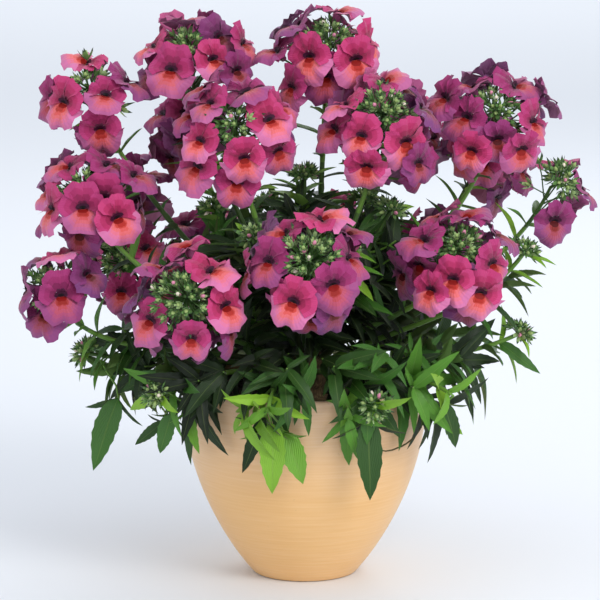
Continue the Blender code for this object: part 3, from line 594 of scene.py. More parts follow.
stations = np.linspace(0, 1, STEM_STATIONS)
swelling = sum(np.exp(-((stations - share) / KNOT_LENGTH) ** 2) for share in STEM_KNOTS)
stem_radii = STEM_FOOT_RADIUS + (STEM_TIP_RADIUS - STEM_FOOT_RADIUS) * stations
stem_radii *= 1 + KNOT_SWELL * swelling
stem_paths = np.array([stretch(head.path, 0, 1 - HEAD_NECK / head.length, STEM_STATIONS) for head in heads])
stem_points = tubes(stem_paths, stem_radii, STEM_SIDES)
ridge = 1 - STEM_RIDGE * np.sin(2 * circle(STEM_SIDES)) ** 2
axis_line = stem_points.mean(axis=2, keepdims=True)
stem_points = axis_line + (stem_points - axis_line) * ridge[:, None]
stem_skin = round_skin(STEM_STATIONS + 2, STEM_SIDES)
stems = Growth().add(stem_points, stem_skin, np.digitize(stem_skin[2][:, 1] / STEM_STATIONS, (0.35, 0.75)))
stems.piece("flowering_stems", "stem", stem_finishes, *stem_nodes)


# Leafy shoots
# Thin green side shoots with lance-shaped leaves in pairs, each pair at right angles to the one below,
# and small twigs from the axils. The leaves are a few tenths of a millimetre thick, folded a little
# along the rib, with a few shallow teeth towards the tip.
SHOOT_TIP_RADIUS = 0.0013
SHOOT_STATIONS = 24
SHOOT_SEED = 900
FIRST_NODE = 0.12
LAST_NODE = 0.99
NODE_WANDER = math.radians(14)
TWIG_LENGTH = 0.030
TWIG_LENGTHS = (0.6, 1.15)
TWIG_FORWARD = (0.6, 0.5)
TWIG_RISE = (0.15, 0.3)
TWIG_RADII = (0.0009, 0.0008, 0.0007, 0.0006, 0.0005)
TWIG_PAIRS = (0.42, 0.66, 0.84, 0.98)
LEAF_SIZES = (0.72, 1.04)
TWIG_LEAF_SIZES = (0.42, 0.80)
DROOP_SHARE = 0.6
STEM_LEAF_NODES = (0.30, 0.40, 0.48, 0.56, 0.64, 0.72, 0.80, 0.88, 0.95, 1.0)
STEM_LEAF_LENGTH = 0.046
STEM_LEAF_LOSS = 0.45
STEM_LEAF_DROOP = 0.1
STEM_LEAF_END = 0.7
TAPER_SHARE = 0.7
TAPER_LOSS = 0.45
LEVEL_SHARE = 0.34
DROOP_SPAN = 0.30
LEAF_FORWARD = 0.5
LEAF_TO_LIGHT = 0.3
LEAF_TO_ROOM = 0.3
LEAF_APART = 0.0042
LIMB_ROOM = 0.0024
TURN_TRIES = np.radians((0, 20, -20, 40, -40, 60, -60))
LENGTH_TRIES = (1.0, 0.75, 0.5)
LEAF_WIDTHS = (0.20, 0.29)
LEAF_BENDS = (0.10, 0.30)
DROOP_BEND = 0.35
LEAF_COLUMNS = np.array((-1.0, -0.52, -0.06, 0.06, 0.52, 1.0))
LEAF_GRID = (14, len(LEAF_COLUMNS))
LEAF_TOOTH = 0.10
LEAF_THICKNESS = 0.0004

# Of each kind of shoot: its pairs of leaves, and which pairs have twigs
SHOOT_PAIRS = {"skirt": (10, range(1, 7)), "inner": (13, range(1, 11)), "heart": (13, range(1, 11)),
               "side": (11, (1, 3, 5, 7))}

# Leaves that hang over the front of the rim: tip, length, width as a share of it, number of the green
HANGING_LEAVES = (
    ((-0.130, -0.022, 0.067), 0.047, 0.36, 3), ((-0.102, -0.040, 0.086), 0.024, 0.30, 2),
    ((-0.086, -0.054, 0.084), 0.028, 0.40, 3), ((-0.063, -0.072, 0.088), 0.028, 0.26, 5),
    ((-0.038, -0.082, 0.079), 0.038, 0.25, 1), ((-0.033, -0.086, 0.088), 0.030, 0.34, 4),
    ((-0.018, -0.090, 0.068), 0.042, 0.38, 6), ((-0.001, -0.090, 0.074), 0.033, 0.46, 5),
    ((0.020, -0.088, 0.108), 0.028, 0.36, 5), ((0.037, -0.086, 0.063), 0.050, 0.32, 2),
    ((0.037, -0.088, 0.097), 0.030, 0.38, 3), ((0.090, -0.048, 0.086), 0.034, 0.32, 2),
    ((0.095, -0.038, 0.092), 0.020, 0.30, 6), ((0.144, -0.010, 0.125), 0.032, 0.26, 3),
)
HANGING_SHARES = np.linspace(0.5, 1.0, 51)
HANGING_TWIG = 0.003
HANGING_BEND = 0.12
HANGING_DROOP = 0.2

# Shoots whose leaves are young and bright, by how many greens
YOUNG_SHOOTS = {"skirt_1": 0.8, "skirt_2": 0.6, "skirt_3": 0.8, "skirt_4": 1.0, "skirt_8": 0.2, "side_1": 1.0}

# Shoots that grow thin and open, by the pairs of leaves that have twigs
OPEN_SHOOTS = {"skirt_4": (1, 2, 4), "heart_1": (0, 2, 4, 6, 8), "inner_1": (1, 3, 5, 7),
               "inner_6": (1, 3, 5, 7, 8)}

# Leaf greens, from the dark old leaves inside the bush to the bright young ones at its tips. The dark end
# is partly leaf age and partly painted shade inside the bush.
LEAF_GREENS = ("#112008", "#1A320B", "#2A4E14", "#3E6E24", "#568C2A", "#6CA02E", "#7EAE2E", "#8CBA30")
FOOT_SHADE = -0.2
SHADE_SPAN = 5.5
SHADE_CURVE = 2.1
SHADE_WANDER = 1.3


@functools.cache
def thin_skin(rows, columns, foot=False, tip=False):
    """Skin of a thin closed body: a front and a back grid that share their rim. A foot or a tip that is
    a point is one corner."""
    front = np.arange(rows * columns).reshape(rows, columns)
    back = front + front.size
    for edge in (np.s_[0], np.s_[-1], np.s_[:, 0], np.s_[:, -1]):
        back[edge] = front[edge]
    for pole, row in ((foot, 0), (tip, rows - 1)):
        if pole:
            front[row] = front[row, 0]
            back[row] = front[row, 0]
    return *corners_of(front, back), (rows, columns)


def sheet(rows, columns):
    """Places on a sheet: v from 0 to 1 down its rows, and u from -1 to 1 across its columns."""
    return np.linspace(0, 1, rows)[:, None], np.linspace(-1, 1, columns)[None]


def with_back(front, depth):
    """Points of thin bodies: their front grids, then their backs, which lie a depth below in z."""
    back = front - np.asarray(depth)[..., None] * UP
    return np.concatenate((front.reshape(len(front), -1, 3), back.reshape(len(front), -1, 3)), axis=1)


def placed(local, middles, frames, sizes=1.0):
    """Points carried from local axes to their places: frames hold the way that x, y and z take, as rows."""
    local = local.reshape(len(local), -1, 3)
    return middles[:, None] + np.asarray(sizes)[..., None, None] * (local @ frames)


def leaf_frames(reaches, faces):
    """Local axes of leaves: sideways, along the leaf and out of its face."""
    return np.stack((np.cross(reaches, faces), reaches, faces), axis=1)


def blades(feet, reaches, faces, length, width, bend, phase):
    """Points of lance-shaped leaves: a grid of u across and v along, front then back. The width goes as
    v^0.6 (1-v)^0.95, with teeth past a third, the rib falls by bend v^2, and the edges lift from it."""
    v = np.linspace(0, 1, LEAF_GRID[0])[:, None]
    u = LEAF_COLUMNS[None]
    shape = v ** 0.6 * (1 - v) ** 0.95
    shape = shape / shape.max()
    notched = (np.arange(len(v)) % 2 == 0)[:, None] & (np.abs(u) == 1) & (v > 0.3)
    length, width, bend, phase = (part[:, None, None] for part in (length, width, bend, phase))
    sideways = length * width / 2 * u * shape * np.where(notched, 1 - LEAF_TOOTH, 1.0)
    swing = length * 0.03 * np.sin(3 * v + phase) * v
    rise = length * (0.10 * v - bend * v ** 2 + 0.05 * np.abs(u) * shape + 0.012 * u ** 2 * shape
                     * np.sin(9 * v + phase))
    depth = LEAF_THICKNESS * (1 - u ** 2) * np.sin(math.pi * v) ** 0.5
    front = joined(sideways + swing, length * v, rise)
    return placed(with_back(front, depth), feet, leaf_frames(reaches, faces))


limb_points = np.concatenate([stretch(mass.path, 0.05, 1, ROUTE_POINTS) for mass in masses])
limb_owners = np.repeat(np.arange(len(masses)), ROUTE_POINTS)
near_limbs = []
for mass in masses:
    near = np.linalg.norm(limb_points - mass.middle, axis=1) < mass.reach + 0.01
    near_limbs.append((limb_points[near], limb_owners[near]))


def clear_of_pot(points):
    """True if no point lies in the pot's wall or in the soil, or closer to them than the clearance."""
    radius = np.hypot(points[:, 0], points[:, 1])
    height = points[:, 2]
    wall = np.interp(height, wall_line[:, 1], wall_line[:, 0])
    above = height > POT_HEIGHT + CLEARANCE
    outside = (radius > wall + CLEARANCE) & (height > CLEARANCE)
    inside = (radius < wall - POT_WALL - CLEARANCE) & (height > SOIL_LEVEL + CRUMB_HEIGHT)
    return bool(np.all(above | outside | inside))


class Spray:
    """Leaves and twigs, gathered one by one and tested for room as they are added. index is the mass in
    whose space they grow, own the mass on whose limb they grow, and rng deals out their wander. All sprays
    share the places that leaves have taken, by mass."""

    taken = {}

    def __init__(self):
        self.leaves = []
        self.twigs = []

    def start_on(self, mass, seed):
        """Go on to the limb of a mass, with draws of its own."""
        self.index = self.own = mass.index
        self.rng = np.random.default_rng(seed + mass.index)

    def side_at(self, direction, start, number):
        """Way that a pair of leaves goes, at right angles to the pair below but for some wander."""
        return beside(direction, start + math.pi / 2 * number + NODE_WANDER * self.rng.uniform(-1, 1))

    def shade(self, share, younger=0.0):
        """Number of a leaf green: darker low on a shoot by age and painted shade, brighter at its tip, with
        some wander.
        """
        number = FOOT_SHADE + (SHADE_SPAN + younger) * share ** SHADE_CURVE + self.rng.normal(0, SHADE_WANDER)
        return int(np.clip(round(number), 0, len(LEAF_GREENS) - 1))

    def clear_of_limbs(self, points):
        """True if points keep clear of every limb but the one that they grow on."""
        near, owners = near_limbs[self.index]
        near = near[owners != self.own]
        return len(near) == 0 or least_distance(points, near) > LIMB_ROOM

    def try_leaf(self, place, reach, face, length, width, bend, phase, shade):
        """Add a leaf if it stays in its mass's space, clear of pot, soil, limbs and other leaves."""
        leaf = (place, reach, face, length, width, bend, phase)
        front = blades(*(np.array(part)[None] for part in leaf))[0, :math.prod(LEAF_GRID)]
        rib = front.reshape(*LEAF_GRID, 3)[3::3].mean(axis=1)
        taken = Spray.taken.setdefault(self.index, [])
        if taken and least_distance(rib[1:], np.array(taken)) < LEAF_APART:
            return False
        if room(self.index, front) < CLEARANCE or not clear_of_pot(front) or not self.clear_of_limbs(rib):
            return False
        taken.extend(rib[1:])
        self.leaves.append(leaf + (shade,))
        return True

    def add_leaf(self, place, direction, side, length, droop, shade):
        """Add one leaf that leaves a stem sideways, turned round the stem or shortened until it fits."""
        other = np.cross(direction, side)
        width = self.rng.uniform(*LEAF_WIDTHS)
        bend = self.rng.uniform(*LEAF_BENDS) + DROOP_BEND * max(droop, 0)
        phase = self.rng.uniform(0, 6)
        for part, swing in itertools.product(LENGTH_TRIES, TURN_TRIES):
            outward = math.cos(swing) * side + math.sin(swing) * other
            reach = unit(outward + LEAF_FORWARD * direction - droop * UP)
            face = leaning(direction + LEAF_TO_LIGHT * UP + LEAF_TO_ROOM * FRONT, reach)
            if self.try_leaf(place, reach, face, length * part, width, bend, phase, shade):
                return

    def add_twig(self, place, direction, outward, leaf_length, droop, shade):
        """Add one side twig that bends forward and up, with pairs of small leaves."""
        heading = unit(outward + TWIG_FORWARD[0] * direction + TWIG_RISE[0] * UP)
        bend = unit(heading + TWIG_FORWARD[1] * direction + TWIG_RISE[1] * UP)
        reach = TWIG_LENGTH * self.rng.uniform(*TWIG_LENGTHS)
        swings = self.rng.uniform(0, math.pi) + np.arange(len(TWIG_PAIRS)) * math.pi / 2
        sizes = leaf_length * self.rng.uniform(*TWIG_LEAF_SIZES, len(TWIG_PAIRS))
        tip = place + heading * reach * 0.6 + bend * reach * 0.4
        route = bezier(place, place + heading * reach * 0.4, tip - bend * reach * 0.3, tip, len(TWIG_RADII))
        if room(self.index, route) < CLEARANCE or not clear_of_pot(route[1:]):
            return
        if not self.clear_of_limbs(route[1:]):
            return
        self.twigs.append(route)
        for share, swing, size in zip(TWIG_PAIRS, swings, sizes):
            spot, ahead = along(route, share)
            side = beside(ahead, swing)
            for sign in (1, -1):
                self.add_leaf(spot, ahead, side * sign, size, droop, shade)

    def hang_leaves(self, shoot):
        """Add the long leaves that hang over the rim from this shoot, for the tips that lie nearest to it."""
        for tip, length, width, shade in HANGING_LEAVES:
            tip = np.array(tip)
            nearest = min(masses, key=lambda mass: np.linalg.norm(mass.middle - tip) - mass.weight)
            if nearest is not shoot:
                continue
            places = [along(shoot.path, share)[0] for share in HANGING_SHARES]
            start = min(places, key=lambda place: abs(np.linalg.norm(tip - place) - length))
            foot = tip + unit(start - tip) * length
            gap = np.linalg.norm(start - foot)
            bend = unit(start * (1, 1, 0)) * gap * 0.5
            reach = unit(tip - foot + bend)
            foot = tip - reach * length
            face = leaning(FRONT + 0.4 * unit(tip * (1, 1, 0)) + LEAF_TO_LIGHT * UP, reach)
            phase = self.rng.uniform(0, 6)
            grown = self.try_leaf(foot, reach, face, length, width, HANGING_BEND, phase, shade)
            if grown and gap > HANGING_TWIG:
                twig = bezier(start, start + bend, foot - reach * gap * 0.4, foot, len(TWIG_RADII))
                self.twigs.append(twig)
                for sign in (1, -1):
                    side = np.cross(reach, face) * sign
                    self.add_leaf(foot, reach, side, length * 0.5, HANGING_DROOP, shade - 1)


sprays = {kind: Spray() for kind in (*SHOOT_PAIRS, "stem")}
for shoot in shoots:
    kind = shoot.name.split("_")[0]
    spray = sprays[kind]
    spray.start_on(shoot, SHOOT_SEED)
    spray.hang_leaves(shoot)
    start = spray.rng.uniform(0, math.pi / 2)
    younger = YOUNG_SHOOTS.get(shoot.name, 0.0)
    pairs, twigged = SHOOT_PAIRS[kind]
    twigged = OPEN_SHOOTS.get(shoot.name, twigged)
    for number, share in enumerate(np.linspace(FIRST_NODE, LAST_NODE, pairs)):
        place, direction = along(shoot.path, share)
        side = spray.side_at(direction, start, number)
        taper = 1 - TAPER_LOSS * max(0, share - TAPER_SHARE) / (1 - TAPER_SHARE)
        droop = DROOP_SHARE * shoot.droop * min(1.0, (share - LEVEL_SHARE) / DROOP_SPAN)
        shade = spray.shade(share, younger)
        for sign in (1, -1):
            length = shoot.leaf_length * spray.rng.uniform(*LEAF_SIZES) * taper
            spray.add_leaf(place, direction, side * sign, length, droop, shade)
        if number in twigged:
            for sign in (1, -1):
                spray.add_twig(place, direction, np.cross(direction, side) * sign, shoot.leaf_length, droop,
                               spray.shade(share, younger))

# Small narrow leaves in pairs up the flowering stems as far as their heads
spray = sprays["stem"]
for head in heads:
    spray.start_on(head, SHOOT_SEED + 50)
    start = spray.rng.uniform(0, math.pi / 2)
    for number, share in enumerate(STEM_LEAF_NODES):
        place, direction = along(head.path, share * (1 - STEM_LEAF_END * HEAD_NECK / head.length))
        spray.index = int(np.argmin(np.sum((place - MIDDLES) ** 2, axis=1) - WEIGHTS ** 2))
        side = spray.side_at(direction, start, number)
        for sign in (1, -1):
            length = STEM_LEAF_LENGTH * (1 - STEM_LEAF_LOSS * share) * spray.rng.uniform(*LEAF_SIZES)
            spray.add_leaf(place, direction, side * sign, length, STEM_LEAF_DROOP, spray.shade(share))


def veins(material, shader, distortion, turn, distance):
    """Raise fine veins on a thin body, over its own UV places."""
    place = node(material, "TexCoord").outputs["UV"]
    place = node(material, "Mapping", {"Vector": place, "Rotation": (0, 0, turn)}).outputs["Vector"]
    waves = node(material, "TexWave", {"Vector": place, "Scale": 5.0, "Distortion": distortion})
    relief(material, shader, waves.outputs["Fac"], distance, 0.5)


# Leaf skin: waxy and half glossy above, with side veins that run up from the rib, dull and pale below
leaf_finishes = []
for side, gloss, paler in (("upper", 0.40, 0.0), ("rib", 0.5, 0.16), ("under", 0.65, 0.28)):
    for k, code in enumerate(LEAF_GREENS):
        colour = linear(code) * (1 - paler) + linear("#A0BA6A") * paler
        material, shader = finish(f"leaf_{side}_{k + 1}", colour, gloss, Specular_IOR_Level=0.42)
        veins(material, shader, 1.0, 0.5, 0.0004)
        leaf_finishes.append(material)

leaf_skin = thin_skin(*LEAF_GRID, True, True)
back, _, column = leaf_skin[2].T
leaf_side = np.where(back == 1, 2, np.where(column == 2, 1, 0))
for ring, spray in sprays.items():
    nodes = stem_nodes if ring == "stem" else [name for name in shoot_nodes if ring in name]
    *facts, shades = (np.array(part) for part in zip(*spray.leaves))
    leaves = Growth().add(blades(*facts), leaf_skin, leaf_side * len(LEAF_GREENS) + shades[:, None])
    leaves.piece(ring + "_leaves", "leaves", leaf_finishes, *nodes)

# One dry stalk hangs from a shoot and lies along the pot's right side
DRY_STALK = np.array(((0.070, -0.018, 0.121), (0.079, -0.022, 0.105), (0.070, -0.042, 0.092),
                      (0.058, -0.052, 0.0885), (0.045, -0.060, 0.0887)))
DRY_STALK_RADIUS = 0.0005
dry_skin, shader = finish("dry_stalk_skin", linear("#5E5430"), 0.8)
relief(dry_skin, shader, noise(dry_skin, 1800.0, 1.0), 0.0003)
stem_finishes.append(dry_skin)

twigs = Growth()
shoot_paths = [stretch(shoot.path, 0, 1, SHOOT_STATIONS) for shoot in shoots]
add_tubes(twigs, shoot_paths, np.linspace(SHOOT_FOOT_RADIUS, SHOOT_TIP_RADIUS, SHOOT_STATIONS), 8,
          np.array([2 if shoot.name in YOUNG_SHOOTS else 1 for shoot in shoots])[:, None])
add_tubes(twigs, [twig for spray in sprays.values() for twig in spray.twigs], TWIG_RADII, 6, 2)
hanging = bezier(*DRY_STALK[:4], 12)
lying = bezier(DRY_STALK[3], 2 * DRY_STALK[3] - DRY_STALK[2], DRY_STALK[4], DRY_STALK[4], 6)[1:-1]
add_tubes(twigs, [np.vstack((hanging, lying))], DRY_STALK_RADIUS, 6, 3)
twigs.piece("leafy_twigs", "stem", stem_finishes, *shoot_nodes)


# Flower heads
# Two-lipped flowers on thin stalks all round the top of each stem, older ones lower down, about a domed
# knot of green buds. Four lobes stand up, a broad ruffled lip hangs below, and a low orange palate swells
# under the throat, whose shade is painted: a dark band over the palate and a dark cap deep in the tube.
HEAD_SEED = 400
FLOWER_RADIUS = 0.0137
FLOWER_DEPTH = 0.0065
FLOWER_RINGS = ((60, 0.0245, 0.67), (90, 0.0278, 0.80), (118, 0.0278, 0.45))
FLOWER_SINK = 0.003
FLOWER_PULLS = (1.0, 1.12, 0.9, 1.22, 0.8)
FLOWER_NODS = (0.0, -0.35, 0.35, -0.7)
FLOWER_SHIFTS = (0.0, 0.16, -0.16, 0.32, -0.32)
MOST_CROSSINGS = 12
FLOWER_APART = 0.0140
FLOWER_SIZES = (0.86, 1.10)
HEAD_SPREADS = {"left_top": 0.85, "left_low": 0.72, "right_tip": 0.78, "left_inner": 0.85,
                "back_top_left": 0.78}
HEAD_LIFTS = {"left_low": 0.009, "top": 0.002}

# Heads whose flowers nearly close over the buds, or stand wide of them, by the share of buds they show
CLOSED_HEADS = {"left_top": 0.6, "left_middle": 0.8, "left_low": 0.7, "top_left": 0.55, "top": 0.7,
                "upper_right": 0.55, "right_tip": 0.5, "right_front": 0.8, "front_left": 1.35, "front": 1.15}
CLOSING = 0.30
AXIS_PULL = 0.15
LIGHT_PULL = 0.15
UPRIGHT_PULL = 0.35
TURN_WANDER = math.radians(11)
TILT_WANDER = 10
LOOK_WANDER = 0.38
ROLL_WANDER = 0.30
FLOWER_AGES = (0.28, 0.48, 0.72)
AGE_WANDER = 0.33
LIP_HALF_WIDTH = 1.04
LIP_REACH = 1.22
LIP_FOOT = 0.17
STALKS_BELOW = 0.008
STALKS_SPAN = 0.019
STALK_RADII = (0.0006, 0.0005, 0.0005, 0.0005, 0.0007)
PETAL_THICKNESS = 0.03
ARCH_THICKNESS = 0.02

# Upper lobes: turn from upright and half width in degrees, reach, and how far one lies behind another
LOBES = ((-76, 40, 1.00, 0.04), (76, 40, 1.00, 0.04), (-22, 31, 1.10, 0.0), (22, 31, 1.10, 0.02))

# Rows and columns of points in each sheet
LOBE_GRID = (5, 8)
LIP_GRID = (8, 17)
PALATE_GRID = (6, 7)
ARCH_GRID = (3, 11)

# The short tube behind the petals, as radii and heights: from the calyx up to the throat, where its cap is
# painted shade
THROAT_TUBE = np.array(((0.0, -0.5), (0.13, -0.5), (0.18, -0.28), (0.22, -0.10), (0.20, -0.02), (0.0, -0.02)))
THROAT_SIDES = 8

# Petal colours by age, each from the throat to the edge: upper lobes, lip, underside
PETAL_AGES = (
    (("#74103A", "#AE1E54", "#C03670"),
     ("#B4241A", "#D4483E", "#E0686C", "#DC7090", "#D070A0"), ("#CC6696", "#DC90B0")),
    (("#520C38", "#901C58", "#A02E6C"),
     ("#981C14", "#B43C3E", "#B44A62", "#A84874", "#9A447A"), ("#A04E80", "#B878A0")),
    (("#400E34", "#72245A", "#80306A"),
     ("#641A18", "#863844", "#8E425E", "#8A4270", "#7C3C74"), ("#8A5080", "#A47898")),
)
AGE_STEPS = 5
UPPER_STEPS = 4
LIP_STEPS = 7
UNDER_STEPS = 2


def lobe(turn, spread, reach, layer, phase):
    """Front of an upper lobe, in flower radii: u across and v outwards on a fan about a turn from upright.
    The end is rounded as 1 - 0.24 |u|^2.8 and ruffled, the lobe rises and curls back, and the lower edge of
    a side lobe comes forward."""
    v, u = sheet(*LOBE_GRID)
    phase = phase[:, None, None]
    angle = math.radians(turn) + math.radians(spread) * u * (0.62 + 0.38 * v)
    edge = reach * (1 - 0.24 * np.abs(u) ** 2.8 + 0.04 * np.sin(7 * u + phase)) * (1 + 0.06 * np.sin(phase))
    radius = 0.06 + v * (edge - 0.06)
    forward = 0.28 * v * np.clip(u * np.sign(turn) * (abs(turn) > 45), 0, 1) ** 2
    ruffle = v ** 2 * (0.12 * np.sin(3.6 * u + phase) + 0.07 * np.sin(8.5 * u + 2 * phase))
    rise = 0.46 * v - 0.46 * v ** 2 - layer + ruffle + forward + 0.05 * v * u ** 2
    return joined(radius * np.sin(angle), radius * np.cos(angle), rise)


def lip_sheet(u, v, phase):
    """Front of the lower lip, in flower radii: a fan hung below the throat that pouts forward, notched in
    the middle and ruffled at its edge. Gives x, y and rise."""
    swing = math.radians(84) * u * (0.90 + 0.10 * v)
    edge = 1 / np.sqrt((np.sin(swing) / LIP_HALF_WIDTH) ** 2 + (np.cos(swing) / LIP_REACH) ** 2)
    notch = 0.08 * np.exp(-(u / 0.14) ** 2)
    edge = edge * (1 - notch + 0.055 * np.sin(9 * u + phase) + 0.03 * np.sin(19 * u + 2 * phase))
    radius = 0.05 + v * (edge * (1 + 0.06 * np.sin(3 * phase)) - 0.05)
    foot = LIP_FOOT * u * (1 - v) ** 2
    pout = (0.50 + 0.10 * np.sin(phase)) * np.sin(math.pi * v ** 0.8 * 0.64) * (1 - 0.80 * u ** 2)
    ruffle = v ** 2 * (0.11 * np.sin(7 * u + 2 * phase) + 0.09 * np.sin(15 * u + phase))
    return -radius * np.sin(swing) - foot, -radius * np.cos(swing), pout - 0.12 * v ** 4 + ruffle


def lip(phase):
    """Front of the whole lower lip as a grid of u across and v outwards."""
    v, u = sheet(*LIP_GRID)
    return joined(*lip_sheet(u, v, phase[:, None, None]))


def palate(phase):
    """Front of the palate: a low swelling in two halves that lies on the lip just below the throat."""
    v, u = sheet(*PALATE_GRID)
    x, y, rise = lip_sheet((0.80 - 0.34 * v) * u, 0.02 + 0.30 * v, phase[:, None, None])
    halves = 1 - 0.4 * np.exp(-(u / 0.3) ** 2)
    return joined(x, y, rise + 0.07 * np.sin(math.pi * v) ** 0.8 * (1 - u ** 4) * halves - 0.01)


def arch(phase):
    """Front of the band of painted throat shade over the palate, in flower radii: a low broad band, pointed
    at both ends.
    """
    v, u = sheet(*ARCH_GRID)
    turn = np.radians(104) * u
    outer = 1 / np.sqrt((np.sin(turn) / 0.37) ** 2 + (np.cos(turn) / 0.21) ** 2)
    outer = outer * (1 - 0.8 * np.abs(turn / turn.max()) ** 6) * (1 + 0.10 * np.sin(phase[:, None, None]))
    radius = 0.02 + v * (outer - 0.02)
    return joined(radius * np.sin(turn), radius * np.cos(turn), 0.045 + 0.42 * radius - 0.30 * radius ** 2)


def petal_tree(throat, axes, size, phase):
    """Search tree over the fronts of one flower's lobes and lip."""
    phase = np.array([phase])
    points, corners, count = [], [], 0
    for front in [lobe(*form, phase + form[0]) for form in LOBES] + [lip(phase)]:
        grid = np.arange(front[..., 0].size).reshape(front.shape[1:3])
        corners.append(corners_of(grid)[1] + count)
        points.append(placed(front, throat[None], axes[None], np.array([size]))[0])
        count += grid.size
    return BVHTree.FromPolygons(np.concatenate(points).tolist(), np.concatenate(corners).tolist())


# Each flower takes the first of its tries that runs through no neighbour, or else the one that does least
flowers = []
petal_trees = {}
for head in heads:
    rng = np.random.default_rng(HEAD_SEED + head.index)
    spread = HEAD_SPREADS.get(head.name, 1.0)
    lift = HEAD_LIFTS.get(head.name, 0.0) - FLOWER_SINK
    closing = CLOSING * (1 - CLOSED_HEADS.get(head.name, 1.0))
    taken = []
    trees = petal_trees.setdefault(head.index, [])
    start = rng.uniform(0, 2 * math.pi)
    total = sum(round(head.flowers * share) for *_, share in FLOWER_RINGS)
    order = 0
    for ring, (tilt, distance, share) in enumerate(FLOWER_RINGS):
        number = round(head.flowers * share)
        for k in range(number):
            turn = start + 2 * math.pi * (k + 0.5 * ring) / number + TURN_WANDER * rng.uniform(-1, 1)
            tip = math.radians(tilt * (1 - closing) + TILT_WANDER * rng.uniform(-1, 1))
            size = FLOWER_RADIUS * rng.uniform(*FLOWER_SIZES)
            age = np.clip(FLOWER_AGES[ring] + rng.normal(0, AGE_WANDER), 0, 1)
            phase = rng.uniform(0, 6.28)
            order += 1
            wander = rng.uniform(-1, 1, 3)
            foot, _ = along(head.path, 1 - (STALKS_BELOW + STALKS_SPAN * order / total) / head.length)
            best = None
            for pull, nod, shift in itertools.product(FLOWER_PULLS, FLOWER_NODS, FLOWER_SHIFTS):
                outward = tilted(head.axis, tip, turn + shift)
                throat = head.middle + outward * distance * spread * pull + UP * lift
                if taken and least_distance(throat[None], np.array(taken)) < FLOWER_APART:
                    continue
                look = unit(outward + AXIS_PULL * head.axis + LIGHT_PULL * FRONT + LOOK_WANDER * wander
                            + nod * UP)
                upright = leaning(UP + UPRIGHT_PULL * head.axis + ROLL_WANDER * wander[::-1], look)
                axes = np.array((np.cross(upright, look), upright, look))
                turns = circle(12)[:, None]
                rim = throat + size * (np.cos(turns) * axes[1] + np.sin(turns) * axes[0])
                if room(head.index, rim) < CLEARANCE or not clear_of_pot(rim):
                    continue
                tree = petal_tree(throat, axes, size, phase)
                crossings = sum(len(tree.overlap(neighbour)) for neighbour in trees)
                if best is None or crossings < best[0]:
                    best = (crossings, tree, (throat, axes, size, phase, age, foot))
                if crossings == 0:
                    break
            if best is not None and best[0] <= MOST_CROSSINGS:
                trees.append(best[1])
                flowers.append(best[2])
                taken.append(best[2][0])

throats, frames, sizes, phases, ages, feet = (np.array(part) for part in zip(*flowers))
age_number = np.clip(np.round(ages * (AGE_STEPS - 1)), 0, AGE_STEPS - 1).astype(int)[:, None]


def steps_between(colours, count):
    """Colours at even steps along a row of colours."""
    places = np.linspace(0, len(colours) - 1, count)
    return np.column_stack([np.interp(places, np.arange(len(colours)), part) for part in colours.T])


# Petal skin: velvety, so a soft pale edge of light, with fine veins that fan out from the throat
petal_finishes = []
for age in range(AGE_STEPS):
    share = age / (AGE_STEPS - 1) * (len(PETAL_AGES) - 1)
    low = min(int(share), len(PETAL_AGES) - 2)
    for part, (name, steps) in enumerate((("upper", UPPER_STEPS), ("lip", LIP_STEPS),
                                          ("under", UNDER_STEPS))):
        younger, older = (np.array([linear(code) for code in PETAL_AGES[low + k][part]]) for k in (0, 1))
        colours = younger * (1 - share + low) + older * (share - low)
        for k, colour in enumerate(steps_between(colours, steps)):
            material, shader = finish(f"petal_age_{age + 1}_{name}_{k + 1}", colour, 0.62,
                                      Specular_IOR_Level=0.3, Sheen_Weight=0.15)
            veins(material, shader, 4.0, 0.0, 0.0003)
            petal_finishes.append(material)
# Painted shade of the throat: the band over the palate, its paler edge, and the palate's red where the throat
# shades it, fresh and old
dark_arch = len(petal_finishes)
for name, code in (("dark_arch", "#14040E"), ("arch_edge", "#3A0A28"), ("palate_red", "#86100C"),
                   ("old_palate_red", "#520E12")):
    petal_finishes.append(finish("petal_" + name, linear(code), 0.6, Specular_IOR_Level=0.2)[0])

# Numbers of the first finish of each flower's upper lobes, lip and underside
upper = age_number * (UPPER_STEPS + LIP_STEPS + UNDER_STEPS)
lower = upper + UPPER_STEPS
under = lower + LIP_STEPS


def add_sheets(growth, front, thickness, numbers):
    """Add a thin sheet to every flower, from its front in flower radii."""
    points = placed(with_back(front, thickness), throats, frames, sizes)
    growth.add(points, thin_skin(*front.shape[1:3]), numbers)


petals = Growth()
back, row, _ = thin_skin(*LOBE_GRID)[2].T
lobe_numbers = np.where(back == 1, under, upper + row)
for turn, *form in LOBES:
    add_sheets(petals, lobe(turn, *form, phases + turn), PETAL_THICKNESS, lobe_numbers)

lips = Growth()
back, row, column = thin_skin(*LIP_GRID)[2].T
outwards = (row + 0.5) / (LIP_GRID[0] - 1)
sideways = np.abs(2 * (column + 0.5) / (LIP_GRID[1] - 1) - 1)
depth = 0.92 * outwards + 0.34 * sideways
step = np.clip((depth * LIP_STEPS).astype(int), 0, LIP_STEPS - 1)
add_sheets(lips, lip(phases), PETAL_THICKNESS, np.where(back == 1, under + 1, lower + step))
# The band over the palate is painted throat shade, paler at its outer edge
row = thin_skin(*ARCH_GRID)[2][:, 1]
add_sheets(lips, arch(phases), ARCH_THICKNESS, dark_arch + (row == 1))
back, row, column = thin_skin(*PALATE_GRID)[2].T
palate_edge = (row == row.max()) | (column == 0) | (column == column.max())
# The palate's two rows next to the throat take its red darkened as painted shade
palate_red = dark_arch + 2 + (age_number > 2)
add_sheets(lips, palate(phases), PETAL_THICKNESS, np.where(row < 2, palate_red, lower + palate_edge))
